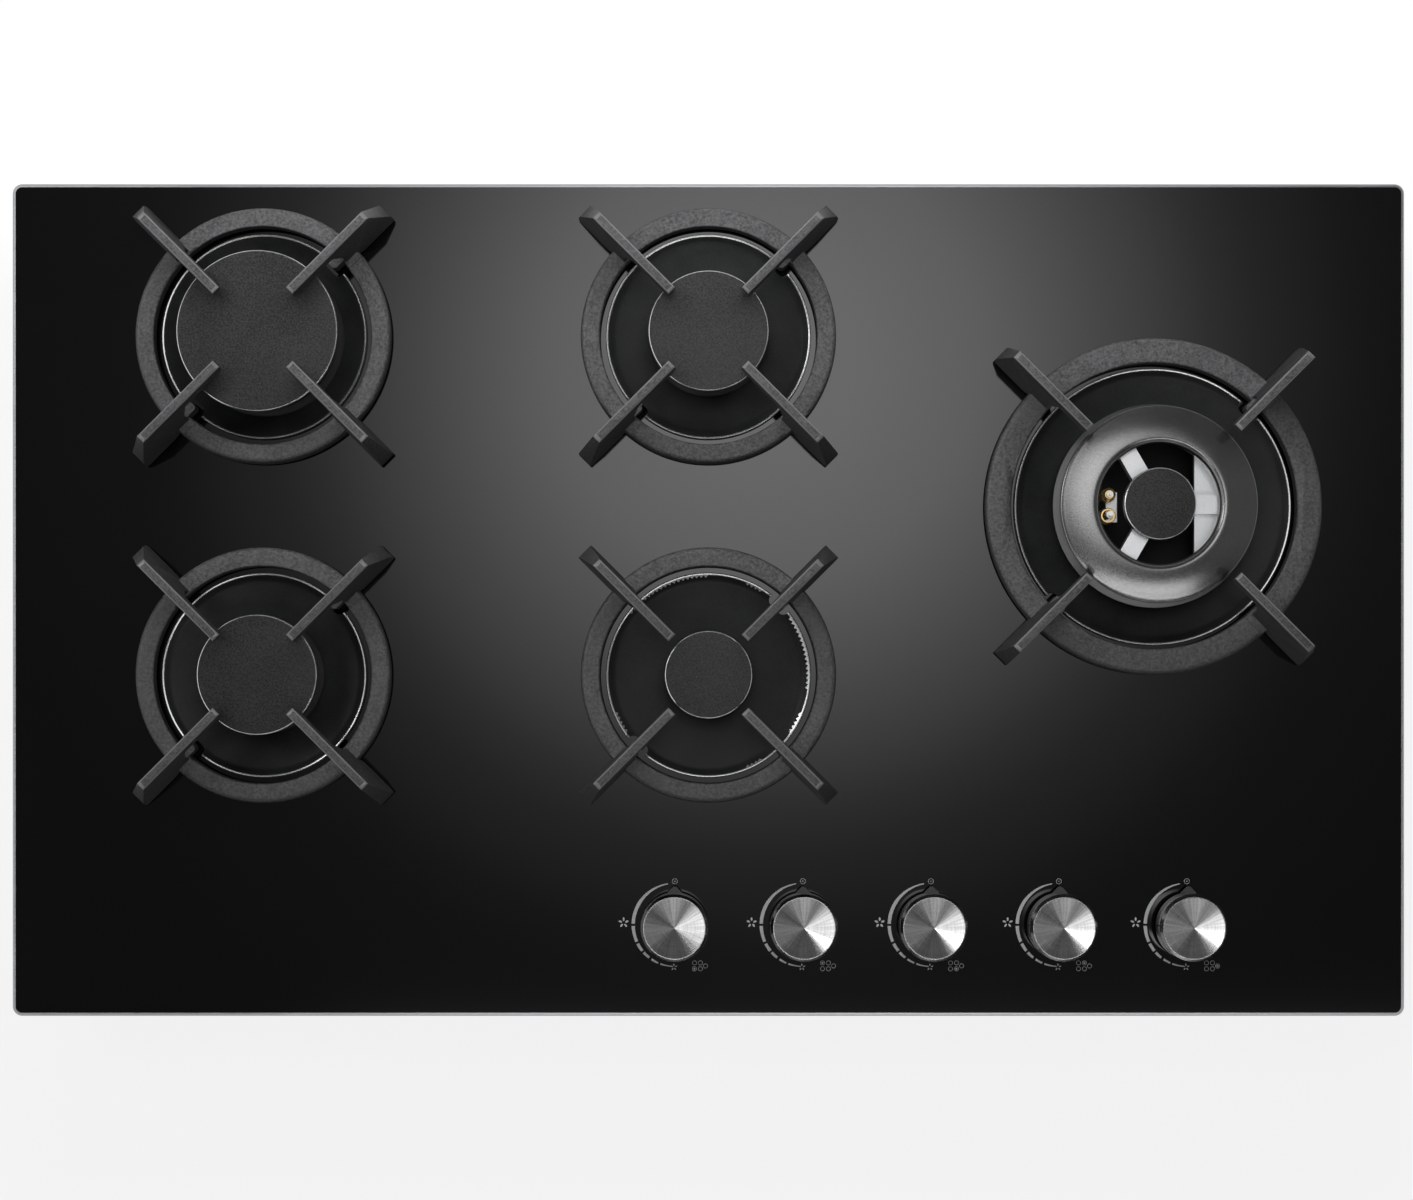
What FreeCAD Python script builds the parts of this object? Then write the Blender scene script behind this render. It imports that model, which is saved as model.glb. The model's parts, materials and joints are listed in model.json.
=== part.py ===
import FreeCAD, Part
import math
import os
import Sketcher

# A built-in gas hob with five burners, in millimetres.
# The origin is the middle of the worktop plane, on which the seal under the glass rests.
# +X points right along the long side, +Y points to the back and +Z points up.

vector = FreeCAD.Vector
document = FreeCAD.newDocument("gas_hob")
sheet = document.addObject("Spreadsheet::Sheet", "Sizes")

driving_sizes = {
    # Glass top, its metal edge and the seal on the worktop
    "hob_width": 870,
    "hob_depth": 520,
    "hob_corner": 6,
    "trim_wall": 2,
    "trim_flange": 14,
    "trim_flange_thick": 1.2,
    "trim_bevel": 0.9,
    "glass_thick": 8,
    "glass_gap": 0.15,
    "seal_thick": 2,
    "seal_width": 8,
    "seal_inset": 3,
    # Pressed steel case under the glass
    "case_inset": 25,
    "case_depth": 55,
    "case_sheet": 1,
    "case_flange": 9,
    "case_corner": 12,
    "clamp_hole_radius": 2.25,
    "clamp_hole_inset_x": 20,
    "clamp_hole_inset_y": 80,
    "inlet_recess_x": 70,
    "inlet_recess_y": 60,
    # Burner places
    "column_pitch": 277,
    "rear_row": 164,
    "front_row": -47,
    "wok_row": 58,
    # Burner heads
    "rapid_cap_radius": 49.5,
    "semi_rapid_cap_radius": 37,
    "auxiliary_cap_radius": 27,
    "wok_cap_radius": 61,
    "wok_cap_hole": 37,
    "wok_inner_cap_radius": 22.25,
    "cap_height": 29,
    "cap_thick": 5,
    "cap_rim_round": 1.4,
    "cap_overhang": 2.5,
    "cap_locator_drop": 3,
    "cap_locator_wall": 3,
    "crown_wall": 5,
    "crown_neck_step": 9,
    "crown_seat_height": -5,
    "crown_cone_low": 5,
    "crown_cone_high": 15,
    "crown_sheet": 2.5,
    "port_width": 2.2,
    "port_depth": 5,
    "port_pitch": 7.4,
    "rapid_tube_radius": 12,
    "semi_rapid_tube_radius": 10,
    "auxiliary_tube_radius": 6,
    "wok_tube_radius": 8,
    "cup_wall": 3,
    "cup_floor": 5,
    "cup_hollow": 22,
    "cup_fit": 0.4,
    "cup_foot_radius": 17,
    "cup_foot_thick": 3,
    "cup_column_radius": 8,
    "jet_radius": 4,
    "jet_height": 9,
    "jet_bore": 0.8,
    # Wok burner casting
    "wok_arm_width": 11.5,
    "wok_arm_thick": 8,
    "wok_arm_below_cap": 12,
    "wok_web_chord": 24,
    "wok_cap_fall": 2.2,
    "wok_cap_lip_round": 4,
    "wok_cap_rim_round": 2.2,
    "wok_skirt_radius": 63.2,
    "wok_skirt_low": 5,
    "wok_skirt_thick": 5,
    # Spark plugs and flame sensors beside the burners
    "igniter_radius": 2.2,
    "sensor_radius": 1.9,
    "probe_tip_radius": 0.9,
    "probe_tip_height": 1.9,
    "probe_gap": 0.6,
    "probe_angle": 24,
    # Enamelled dishes
    "dish_radius": 64,
    "wok_dish_radius": 86.5,
    "dish_rim_height": 3.6,
    "dish_sheet": 1.2,
    "dish_rim_width": 5,
    "dish_dip": 2.4,
    "dish_hole_gap": 2,
    "dish_seat_width": 3,
    "dish_bowl_round": 10,
    "dish_notch_width": 15,
    "dish_notch_depth": 5.4,
    "dish_notch_round": 4,
    "dish_lap": 6,
    "cup_flange_reach": 6.8,
    # Cast pan supports
    "support_ring_outer": 79.5,
    "support_ring_width": 12,
    "wok_ring_outer": 104.8,
    "wok_ring_width": 16,
    "support_ring_gap": 1.5,
    "support_ring_thick": 8,
    "support_ring_round": 3.5,
    "support_height": 43,
    "finger_depth": 9,
    "finger_top_width": 5,
    "finger_root_width": 11.5,
    "finger_inner": 31.5,
    "wok_finger_inner": 63.6,
    "finger_top_reach": 17,
    "wok_finger_top_reach": 22,
    "leg_reach": 29.5,
    "leg_toe": 12,
    "leg_toe_bevel": 3,
    "leg_brow": 3,
    "finger_arch": 12,
    "finger_edge_bevel": 0.8,
    "finger_pad_width": 18,
    "finger_pad_rise": 0.8,
    "finger_turn": 45,
    "tab_width": 7.5,
    "tab_reach": 7,
    "tab_height": 12,
    "leg_foot_radius": 3,
    "leg_foot_height": 1.2,
    # Knobs
    "knob_pitch": 80,
    "knob_first": -21,
    "knob_edge_gap": 57,
    "knob_radius": 20.9,
    "knob_face_radius": 19.2,
    "knob_height": 24,
    "knob_lift": 4.2,
    "knob_push": 3.5,
    "knob_wall": 2,
    "knob_face_sink": 0.4,
    "knob_rim": 0.5,
    "knob_draft": 0.6,
    "knob_boss_radius": 7,
    "pointer_thick": 3,
    "pointer_radius": 20.3,
    "pointer_reach": 24.2,
    "pointer_half_width": 9,
    "pointer_round": 2.2,
    "stem_radius": 4,
    "stem_flat": 2.9,
    "stem_fit": 0.05,
    "stem_depth": 21.5,
    "stem_hole_radius": 9,
    # Gas valves, pipes and inlet
    "valve_width": 26,
    "valve_length": 34,
    "valve_top": -4,
    "valve_cover_thick": 2,
    "plug_radius": 6,
    "plug_length": 14,
    "plug_fit": 0.05,
    "manifold_radius": 8,
    "manifold_wall": 1.5,
    "manifold_height": -30,
    "manifold_bend": 30,
    "manifold_end": 26,
    "pipe_radius": 4,
    "pipe_wall": 1,
    "pipe_height": -16,
    "pipe_bend": 18,
    "pipe_first_row": 45,
    "pipe_second_row": 30.6,
    "pipe_slant": 40,
    "pipe_burner_gap": 70,
    "pipe_wok_gap": 20,
    "inlet_radius": 10.48,
    "inlet_bore": 6,
    "inlet_block": 12,
    # Rails, ignition and small parts
    "rail_top_width": 44,
    "rail_flange": 12,
    "rail_sheet": 1.5,
    "rail_end_gap": 6,
    "screw_radius": 2,
    "screw_hole_gap": 0.15,
    "screw_head_radius": 3.6,
    "screw_head_height": 2.4,
    "cup_screw_offset": 12.5,
    "rail_screw_inset": 18,
    "module_width": 70,
    "module_length": 46,
    "module_height": 30,
    "module_gap_x": 22,
    "module_gap_y": 21,
    "lead_radius": 1.2,
    "lead_height": -28,
    "lead_bend": 12,
    "lead_rise_bend": 3.5,
    "lead_pitch": 8,
    "lead_front_row": 26.4,
    "lead_second_row": 42,
    "sensor_lead_height": -33.5,
    "sensor_front_row": 56,
    "sensor_second_row": 14,
    "sensor_third_row": 36.4,
    "sensor_rear_row": 56,
    "sensor_middle_row": 77,
    "sensor_wok_row": 39.2,
    "sensor_column": 61.6,
    "sensor_socket_height": -25,
    "sensor_socket_offset": 8,
}


class Length:
    # A number together with the sheet formula that gives it, so that sums of
    # sizes can be written plainly and still be bound to the sheet's cells.
    def __init__(self, value, formula):
        self.value = float(value)
        self.formula = formula

    def __add__(self, other):
        return Length(self.value + number(other), "(%s + %s)" % (self.formula, formula(other)))

    def __sub__(self, other):
        return Length(self.value - number(other), "(%s - %s)" % (self.formula, formula(other)))

    def __rsub__(self, other):
        return Length(number(other) - self.value, "(%s - %s)" % (formula(other), self.formula))

    def __mul__(self, other):
        return Length(self.value * number(other), "(%s * %s)" % (self.formula, formula(other)))

    def __truediv__(self, other):
        return Length(self.value / number(other), "(%s / %s)" % (self.formula, formula(other)))

    def __neg__(self):
        return Length(-self.value, "(0 - %s)" % self.formula)

    __radd__ = __add__
    __rmul__ = __mul__


def number(size):
    return size.value if isinstance(size, Length) else float(size)


def formula(size):
    return size.formula if isinstance(size, Length) else "%g" % size


class SheetSizes:
    # Writes each driving size into the sheet and offers it under its own name.
    def __init__(self, values):
        for row, (name, value) in enumerate(values.items(), 1):
            sheet.set("A%d" % row, name)
            sheet.set("B%d" % row, str(value))
            sheet.setAlias("B%d" % row, name)
            setattr(self, name, Length(value, "Sizes." + name))


size = SheetSizes(driving_sizes)
document.recompute()

# Heights and places that follow from the driving sizes
trim_low = size.seal_thick
glass_low = trim_low + size.trim_flange_thick
glass_top = glass_low + size.glass_thick
case_floor = -size.case_depth
case_floor_top = case_floor + size.case_sheet
rail_top = size.manifold_height - size.manifold_radius
case_half_x = size.hob_width / 2 - size.case_inset
case_half_y = size.hob_depth / 2 - size.case_inset
cap_top = glass_top + size.cap_height
crown_top = cap_top - size.cap_thick
crown_seat = glass_top + size.crown_seat_height
support_top = glass_top + size.support_height
ring_low = glass_top + size.support_ring_gap
ring_top = ring_low + size.support_ring_thick
valve_floor = size.valve_top - size.plug_length - size.valve_cover_thick
screw_hole = size.screw_radius + size.screw_hole_gap
rail_half_length = case_half_y - size.case_sheet - size.rail_end_gap
knob_row = size.knob_edge_gap - size.hob_depth / 2
module_x = size.module_gap_x + size.module_width / 2 + size.case_sheet - case_half_x
module_y = size.module_gap_y + size.module_length / 2 + size.case_sheet - case_half_y

burner_places = {
    "rear_left": (-size.column_pitch, size.rear_row),
    "rear_middle": (None, size.rear_row),
    "front_left": (-size.column_pitch, size.front_row),
    "front_middle": (None, size.front_row),
    "wok": (size.column_pitch, size.wok_row),
}
burner_kinds = {
    "rear_left": "rapid",
    "rear_middle": "semi_rapid",
    "front_left": "semi_rapid",
    "front_middle": "auxiliary",
    "wok": "wok",
}
knob_burners = ["front_left", "rear_left", "front_middle", "rear_middle", "wok"]
cap_radii = {
    "rapid": size.rapid_cap_radius,
    "semi_rapid": size.semi_rapid_cap_radius,
    "auxiliary": size.auxiliary_cap_radius,
    "wok": size.wok_cap_radius,
}
tube_radii = {
    "rapid": size.rapid_tube_radius,
    "semi_rapid": size.semi_rapid_tube_radius,
    "auxiliary": size.auxiliary_tube_radius,
    "wok": size.wok_tube_radius,
}


def crown_radius(kind):
    return cap_radii[kind] - size.cap_overhang


def neck_radius(kind):
    return crown_radius(kind) - size.crown_neck_step


def knob_place(index):
    return size.knob_first + size.knob_pitch * index


sub_parts = []


# Features shared by the sub-parts

def bind(feature, name, length):
    if isinstance(length, Length):
        feature.setExpression(name, length.formula)
    else:
        setattr(feature, name, length)


def place_at(feature, x=None, y=None, z=None):
    for axis, length in (("x", x), ("y", y), ("z", z)):
        if isinstance(length, Length):
            feature.setExpression("Placement.Base." + axis, length.formula)


def new_body(label, x=None, y=None):
    body = document.addObject("PartDesign::Body", label)
    body.Label = label
    place_at(body, x, y)
    return body


def turn_about_z(body, angle):
    turn = FreeCAD.Rotation(vector(0, 0, 1), number(angle))
    body.Placement = FreeCAD.Placement(body.Placement.Base, turn)
    body.setExpression("Placement.Rotation.Angle", angle.formula)


def origin_feature(body, role):
    return next(item for item in body.Origin.OriginFeatures if item.Role == role)


def sketch_on(body, name, plane, offset=None):
    sketch = body.newObject("Sketcher::SketchObject", name)
    sketch.AttachmentSupport = (origin_feature(body, plane + "_Plane"), [""])
    sketch.MapMode = "FlatFace"
    if offset is not None:
        bind(sketch, "AttachmentOffset.Base.z", offset)
    return sketch


def dimension(sketch, kind, *items):
    length = items[-1]
    index = sketch.addConstraint(Sketcher.Constraint(kind, *items[:-1], number(length)))
    if isinstance(length, Length):
        sketch.setExpression("Constraints[%d]" % index, length.formula)


def fix_point(sketch, geometry, position, x, y):
    for kind, axis, length in (("DistanceX", -2, x), ("DistanceY", -1, y)):
        if abs(number(length)) > 1e-9:
            dimension(sketch, kind, -1, 1, geometry, position, length)
        else:
            sketch.addConstraint(Sketcher.Constraint("PointOnObject", geometry, position, axis))


def rounded_corner(before, corner, after):
    # A corner (x, y, radius) between a level and an upright side, as the centre of its arc
    # and the two ends, in the order of the outline.
    x, y, radius = corner
    level_first = near(before[1], y)
    level, upright = (before, after) if level_first else (after, before)
    centre_x = x + radius if number(level[0]) > number(x) else x - radius
    centre_y = y + radius if number(upright[1]) > number(y) else y - radius
    on_level = (centre_x, y)
    on_upright = (x, centre_y)
    ends = (on_level, on_upright) if level_first else (on_upright, on_level)
    return (centre_x, centre_y), ends[0], ends[1]


def add_outline(sketch, points):
    # Straight sides between the points; a point with a third value is rounded with that radius.
    first = sketch.GeometryCount
    count = len(points)
    leave = []
    reach = []
    arcs = []
    for index, point in enumerate(points):
        if len(point) == 3:
            centre, start, end = rounded_corner(points[index - 1], point, points[(index + 1) % count])
            arcs.append((index, centre, start, end, point[2]))
            reach.append(start)
            leave.append(end)
        else:
            reach.append(point)
            leave.append(point)
    for index in range(count):
        start = vector(number(leave[index][0]), number(leave[index][1]), 0)
        following = reach[(index + 1) % count]
        end = vector(number(following[0]), number(following[1]), 0)
        sketch.addGeometry(Part.LineSegment(start, end), False)
    rounded = [arc[0] for arc in arcs]
    for index, (x, y) in enumerate(leave):
        if index in rounded:
            continue
        side_before = first + (index - 1) % count
        sketch.addConstraint(Sketcher.Constraint("Coincident", side_before, 2, first + index, 1))
        fix_point(sketch, first + index, 1, x, y)
    for index, centre, start, end, radius in arcs:
        add_corner_arc(sketch, centre, start, end, radius, first + (index - 1) % count, first + index)


def add_corner_arc(sketch, centre, start, end, radius, side_before, side_after):
    middle = [number(value) for value in centre]
    angles = [math.atan2(number(y) - middle[1], number(x) - middle[0]) for x, y in (start, end)]
    turns_left = (angles[1] - angles[0]) % (2 * math.pi) < math.pi
    if not turns_left:
        angles.reverse()
    circle = Part.Circle(vector(*middle, 0), vector(0, 0, 1), number(radius))
    arc = sketch.addGeometry(Part.ArcOfCircle(circle, angles[0], angles[1]), False)
    start_end, finish_end = (1, 2) if turns_left else (2, 1)
    sketch.addConstraint(Sketcher.Constraint("Coincident", side_before, 2, arc, start_end))
    sketch.addConstraint(Sketcher.Constraint("Coincident", side_after, 1, arc, finish_end))
    fix_point(sketch, side_before, 2, *start)
    fix_point(sketch, side_after, 1, *end)
    dimension(sketch, "Radius", arc, radius)


def add_circle(sketch, x, y, radius):
    centre = vector(number(x), number(y), 0)
    index = sketch.addGeometry(Part.Circle(centre, vector(0, 0, 1), number(radius)), False)
    dimension(sketch, "Radius", index, radius)
    fix_point(sketch, index, 3, x, y)


def add_rounded_rectangle(sketch, half_x, half_y, corner):
    across = number(half_x)
    along = number(half_y)
    radius = number(corner)
    first = sketch.GeometryCount
    inner_x = across - radius
    inner_y = along - radius
    ends = [(-inner_x, -along), (inner_x, -along), (across, -inner_y), (across, inner_y),
            (inner_x, along), (-inner_x, along), (-across, inner_y), (-across, -inner_y)]
    centres = [(inner_x, -inner_y), (inner_x, inner_y), (-inner_x, inner_y), (-inner_x, -inner_y)]
    for side in range(4):
        start = vector(*ends[2 * side], 0)
        sketch.addGeometry(Part.LineSegment(start, vector(*ends[2 * side + 1], 0)), False)
    for side in range(4):
        start_angle = math.radians(90 * side - 90)
        circle = Part.Circle(vector(*centres[side], 0), vector(0, 0, 1), radius)
        arc = Part.ArcOfCircle(circle, start_angle, start_angle + math.pi / 2)
        sketch.addGeometry(arc, False)
    for side in range(4):
        arc = first + 4 + side
        sketch.addConstraint(Sketcher.Constraint("Tangent", first + side, 2, arc, 1))
        sketch.addConstraint(Sketcher.Constraint("Tangent", arc, 2, first + (side + 1) % 4, 1))
    for side in (0, 2):
        sketch.addConstraint(Sketcher.Constraint("Horizontal", first + side))
        sketch.addConstraint(Sketcher.Constraint("Vertical", first + side + 1))
    dimension(sketch, "Radius", first + 4, corner)
    for side in (1, 2, 3):
        sketch.addConstraint(Sketcher.Constraint("Equal", first + 4, first + 4 + side))
    dimension(sketch, "DistanceX", -1, 1, first + 1, 1, half_x)
    dimension(sketch, "DistanceX", first + 3, 1, -1, 1, half_x)
    dimension(sketch, "DistanceY", -1, 1, first + 2, 1, half_y)
    dimension(sketch, "DistanceY", first, 1, -1, 1, half_y)


def pad(body, name, sketch, length, midplane=False):
    feature = body.newObject("PartDesign::Pad", name)
    feature.Profile = sketch
    feature.Midplane = midplane
    bind(feature, "Length", length)
    return feature


def pocket(body, name, sketch, length=None, upward=False, midplane=False):
    # Without a length it goes through everything; upward turns it along the sketch's normal.
    feature = body.newObject("PartDesign::Pocket", name)
    feature.Profile = sketch
    feature.Reversed = upward
    feature.Midplane = midplane
    if length is None:
        feature.Type = "ThroughAll"
    else:
        bind(feature, "Length", length)
    return feature


def revolve(body, name, points, cut=False):
    sketch = sketch_on(body, name + "_profile", "XZ")
    add_outline(sketch, points)
    kind = "PartDesign::Groove" if cut else "PartDesign::Revolution"
    feature = body.newObject(kind, name)
    feature.Profile = sketch
    feature.ReferenceAxis = (sketch, ["V_Axis"])
    feature.Angle = 360
    return feature


def polar_copies(body, name, features, count):
    pattern = body.newObject("PartDesign::PolarPattern", name)
    pattern.Originals = features
    pattern.Axis = (origin_feature(body, "Z_Axis"), [""])
    pattern.Angle = 360
    pattern.Occurrences = count
    body.Tip = pattern
    return pattern


def dress_edges(body, name, chosen, length, kind="Fillet"):
    # Rounds or bevels the edges of the body so far for which chosen(edge) holds.
    document.recompute()
    base = body.Tip
    names = ["Edge%d" % index for index, edge in enumerate(base.Shape.Edges, 1) if chosen(edge)]
    feature = body.newObject("PartDesign::" + kind, name)
    feature.Base = (base, names)
    bind(feature, "Radius" if kind == "Fillet" else "Size", length)
    return feature


def near(first, second):
    return abs(number(first) - number(second)) < 1e-4


def ring_edge(*rings):
    # Chooses the full circles around the body's axis with these radii and heights.
    def chosen(edge):
        if not isinstance(edge.Curve, Part.Circle):
            return False
        centre = edge.Curve.Center
        if math.hypot(centre.x, centre.y) > 1e-4:
            return False
        return any(near(edge.Curve.Radius, radius) and near(centre.z, height) for radius, height in rings)
    return chosen


def cylinder(label, radius, low, high, x=None, y=None):
    feature = document.addObject("Part::Cylinder", label)
    bind(feature, "Radius", radius)
    bind(feature, "Height", high - low)
    place_at(feature, x, y, low)
    return feature


def box(label, width, length, low, high, x, y):
    feature = document.addObject("Part::Box", label)
    bind(feature, "Length", width)
    bind(feature, "Width", length)
    bind(feature, "Height", high - low)
    place_at(feature, x - width / 2, y - length / 2, low)
    return feature


def fused(label, features):
    if len(features) == 1:
        return features[0]
    feature = document.addObject("Part::MultiFuse", label)
    feature.Shapes = features
    return feature


def cut(label, base, tool):
    feature = document.addObject("Part::Cut", label)
    feature.Base = base
    feature.Tool = tool
    return feature


def finish(feature, label=None):
    if label is not None:
        feature.Label = label
    sub_parts.append(feature)
    return feature


def grouped(label, features):
    # Several solids that share one node.
    group = document.addObject("Part::Compound", label)
    group.Links = features
    return finish(group, label)


def tube_path(points, radii):
    # Straight runs joined by tangent arcs, one radius for each point between the ends.
    corners = [vector(*[number(value) for value in point]) for point in points]
    edges = []
    start = corners[0]
    for before, corner, after, radius in zip(corners, corners[1:], corners[2:], radii):
        come = (corner - before).normalize()
        leave = (after - corner).normalize()
        turn = come.getAngle(leave)
        setback = radius * math.tan(turn / 2)
        bend_start = corner - come * setback
        bend_end = corner + leave * setback
        inward = (leave - come).normalize()
        middle = corner + inward * (radius / math.cos(turn / 2) - radius)
        edges.append(Part.LineSegment(start, bend_start).toShape())
        edges.append(Part.Arc(bend_start, middle, bend_end).toShape())
        start = bend_end
    edges.append(Part.LineSegment(start, corners[-1]).toShape())
    return Part.Wire(edges)


def swept(path, radius):
    first = path.Edges[0]
    start = first.valueAt(first.FirstParameter)
    along = first.tangentAt(first.FirstParameter)
    section = Part.Wire([Part.Circle(start, along, radius).toShape()])
    solid = path.makePipeShell([section], True, True)
    expected = math.pi * radius ** 2 * path.Length
    print("tube: volume %.1f, section times length %.1f" % (solid.Volume, expected))
    return solid


def tube(points, bend, radius, wall=None, end_bend=None):
    radii = [number(bend)] * (len(points) - 2)
    if end_bend is not None:
        radii[-1] = number(end_bend)
    path = tube_path(points, radii)
    solid = swept(path, number(radius))
    if wall is not None:
        solid = solid.cut(swept(path, number(radius) - number(wall)))
    return solid


def shaped(label, shape):
    feature = document.addObject("Part::Feature", label)
    feature.Label = label
    feature.Shape = shape
    feature.Placement = FreeCAD.Placement()
    return feature


# Glass top, its metal edge, the seal and the case

def make_glass_top():
    body = new_body("glass_top")
    outline = sketch_on(body, "glass_outline", "XY", glass_low)
    edge = size.trim_wall + size.glass_gap
    half_x = size.hob_width / 2 - edge
    half_y = size.hob_depth / 2 - edge
    add_rounded_rectangle(outline, half_x, half_y, size.hob_corner - edge)
    pad(body, "slab", outline, size.glass_thick)
    holes = sketch_on(body, "glass_holes", "XY", glass_top)
    for name, (x, y) in burner_places.items():
        add_circle(holes, x if x is not None else 0, y, glass_hole_radius(burner_kinds[name]))
    for index in range(len(knob_burners)):
        add_circle(holes, knob_place(index), knob_row, size.stem_hole_radius)
    pocket(body, "burner_and_knob_holes", holes)
    finish(body)


def glass_hole_radius(kind):
    return dish_outer_radius(kind) - size.dish_lap


def make_edge_trim():
    body = new_body("edge_trim")
    half_x = size.hob_width / 2
    half_y = size.hob_depth / 2
    outline = sketch_on(body, "trim_outline", "XY", trim_low)
    add_rounded_rectangle(outline, half_x, half_y, size.hob_corner)
    pad(body, "trim_block", outline, glass_top - trim_low)
    opening = sketch_on(body, "trim_opening", "XY", glass_low)
    inner_corner = size.hob_corner - size.trim_wall
    add_rounded_rectangle(opening, half_x - size.trim_wall, half_y - size.trim_wall, inner_corner)
    pocket(body, "glass_recess", opening, upward=True)
    middle = sketch_on(body, "trim_middle", "XY", glass_top)
    flange = size.trim_wall + size.trim_flange
    add_rounded_rectangle(middle, half_x - flange, half_y - flange, inner_corner)
    pocket(body, "case_opening", middle)
    limit_x = number(half_x - size.trim_wall) + 0.01
    limit_y = number(half_y - size.trim_wall) + 0.01

    def outer_top(edge):
        middle_point = edge.valueAt((edge.FirstParameter + edge.LastParameter) / 2)
        outside = abs(middle_point.x) > limit_x or abs(middle_point.y) > limit_y
        bounds = edge.BoundBox
        corner = edge.Length < number(size.hob_corner) * 2 and edge.Length > number(inner_corner) * 1.7
        return near(bounds.ZMin, glass_top) and near(bounds.ZMax, glass_top) and (outside or corner)

    dress_edges(body, "outer_bevel", outer_top, size.trim_bevel, "Chamfer")
    finish(body)


def make_worktop_seal():
    body = new_body("worktop_seal")
    outline = sketch_on(body, "seal_outline", "XY")
    outer_x = size.hob_width / 2 - size.seal_inset
    outer_y = size.hob_depth / 2 - size.seal_inset
    add_rounded_rectangle(outline, outer_x, outer_y, size.hob_corner + size.seal_width)
    add_rounded_rectangle(outline, outer_x - size.seal_width, outer_y - size.seal_width, size.hob_corner)
    pad(body, "seal_loop", outline, size.seal_thick)
    finish(body)


def recess_outline(sketch, inset):
    # The case's outline with the gas inlet's recess in its rear right corner.
    x = case_half_x - inset
    y = case_half_y - inset
    step_x = case_half_x - size.inlet_recess_x - inset
    step_y = case_half_y - size.inlet_recess_y - inset
    add_outline(sketch, [(-x, -y), (x, -y), (x, step_y), (step_x, step_y), (step_x, y), (-x, y)])


def make_bottom_case():
    body = new_body("bottom_case")
    outer = sketch_on(body, "case_outline", "XY", case_floor)
    recess_outline(outer, 0)
    pad(body, "case_block", outer, glass_low - case_floor)

    def upright(edge):
        return near(edge.Length, glass_low - case_floor)

    dress_edges(body, "case_corners", upright, size.case_corner)
    flange = sketch_on(body, "flange_outline", "XY", glass_low - size.case_sheet)
    reach = size.case_flange
    add_rounded_rectangle(flange, case_half_x + reach, case_half_y + reach, size.case_corner)
    pad(body, "glass_flange", flange, size.case_sheet)
    inner = sketch_on(body, "case_hollow", "XY", case_floor_top)
    recess_outline(inner, size.case_sheet)
    pocket(body, "hollow", inner, upward=True)
    recess = sketch_on(body, "recess_hollow", "XY", glass_low)
    room = size.case_sheet * 3
    low_x = case_half_x - size.inlet_recess_x + room
    low_y = case_half_y - size.inlet_recess_y + room
    high_x = case_half_x - size.case_sheet
    high_y = case_half_y - size.case_sheet
    add_outline(recess, [(low_x, low_y), (high_x, low_y), (high_x, high_y), (low_x, high_y)])
    pocket(body, "recess_opening", recess, size.case_sheet)
    floor_holes = sketch_on(body, "floor_holes", "XY", case_floor_top)
    for x, y in rail_screw_places():
        add_circle(floor_holes, x, y, screw_hole)
    for x_side in (-1, 1):
        for y_side in (-1, 1):
            clamp_x = (case_half_x - size.clamp_hole_inset_x) * x_side
            clamp_y = (case_half_y - size.clamp_hole_inset_y) * y_side
            add_circle(floor_holes, clamp_x, clamp_y, size.clamp_hole_radius)
    pocket(body, "screw_holes", floor_holes)
    pass_hole = sketch_on(body, "manifold_hole", "XZ")
    add_circle(pass_hole, inlet_x(), size.manifold_height, size.manifold_radius + size.case_sheet)
    wall = pocket(body, "manifold_pass", pass_hole, case_half_y - size.inlet_recess_y + room, upward=True)
    wall.Reversed = False
    finish(body)


# Enamelled dishes, burner cups, crowns and caps

def dish_hole_radius(kind):
    return crown_radius(kind) + size.dish_hole_gap


def dish_outer_radius(kind):
    return size.wok_dish_radius if kind == "wok" else size.dish_radius


def make_dish(name, kind, x, y):
    # A smooth bowl: its rim lies on the glass round the hole and its floor on the burner cup's flange.
    body = new_body(name + "_dish", x, y)
    rim = dish_outer_radius(kind)
    wall = size.dish_sheet
    sheet_top = glass_top + wall
    low = glass_top - size.dish_dip
    rim_top = glass_top + size.dish_rim_height
    inner = dish_hole_radius(kind)
    bowl_edge = rim - size.dish_rim_width
    seat_edge = inner + size.dish_seat_width
    step = glass_hole_radius(kind) - wall / 2
    fall = (sheet_top - low) * ((bowl_edge - step) / (bowl_edge - seat_edge))
    revolve(body, "bowl", [
        (rim, glass_top), (rim, rim_top - wall / 2), (rim - wall / 2, rim_top),
        (rim - wall * 1.3, rim_top - wall * 0.3), (bowl_edge, sheet_top), (seat_edge, low), (inner, low),
        (inner, low - wall), (seat_edge, low - wall), (step, sheet_top - fall - wall), (step, glass_top)])
    if kind != "rapid":
        # the rapid burner's narrow bowl is one even slope already
        dress_edges(body, "bowl_round", ring_edge((bowl_edge, sheet_top)), size.dish_bowl_round)
    notch = sketch_on(body, "notch_outline", "XY", rim_top)
    half = size.dish_notch_width / 2
    deep = rim - size.dish_notch_depth
    beyond = rim + size.dish_notch_depth
    corner = size.dish_notch_round
    add_outline(notch, [(deep, -half, corner), (beyond, -half), (beyond, half), (deep, half, corner)])
    notch_cut = pocket(body, "finger_notch", notch, size.dish_rim_height + wall)
    polar_copies(body, "finger_notches", [notch_cut], 2)
    turn_about_z(body, size.finger_turn)
    finish(body)


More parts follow.
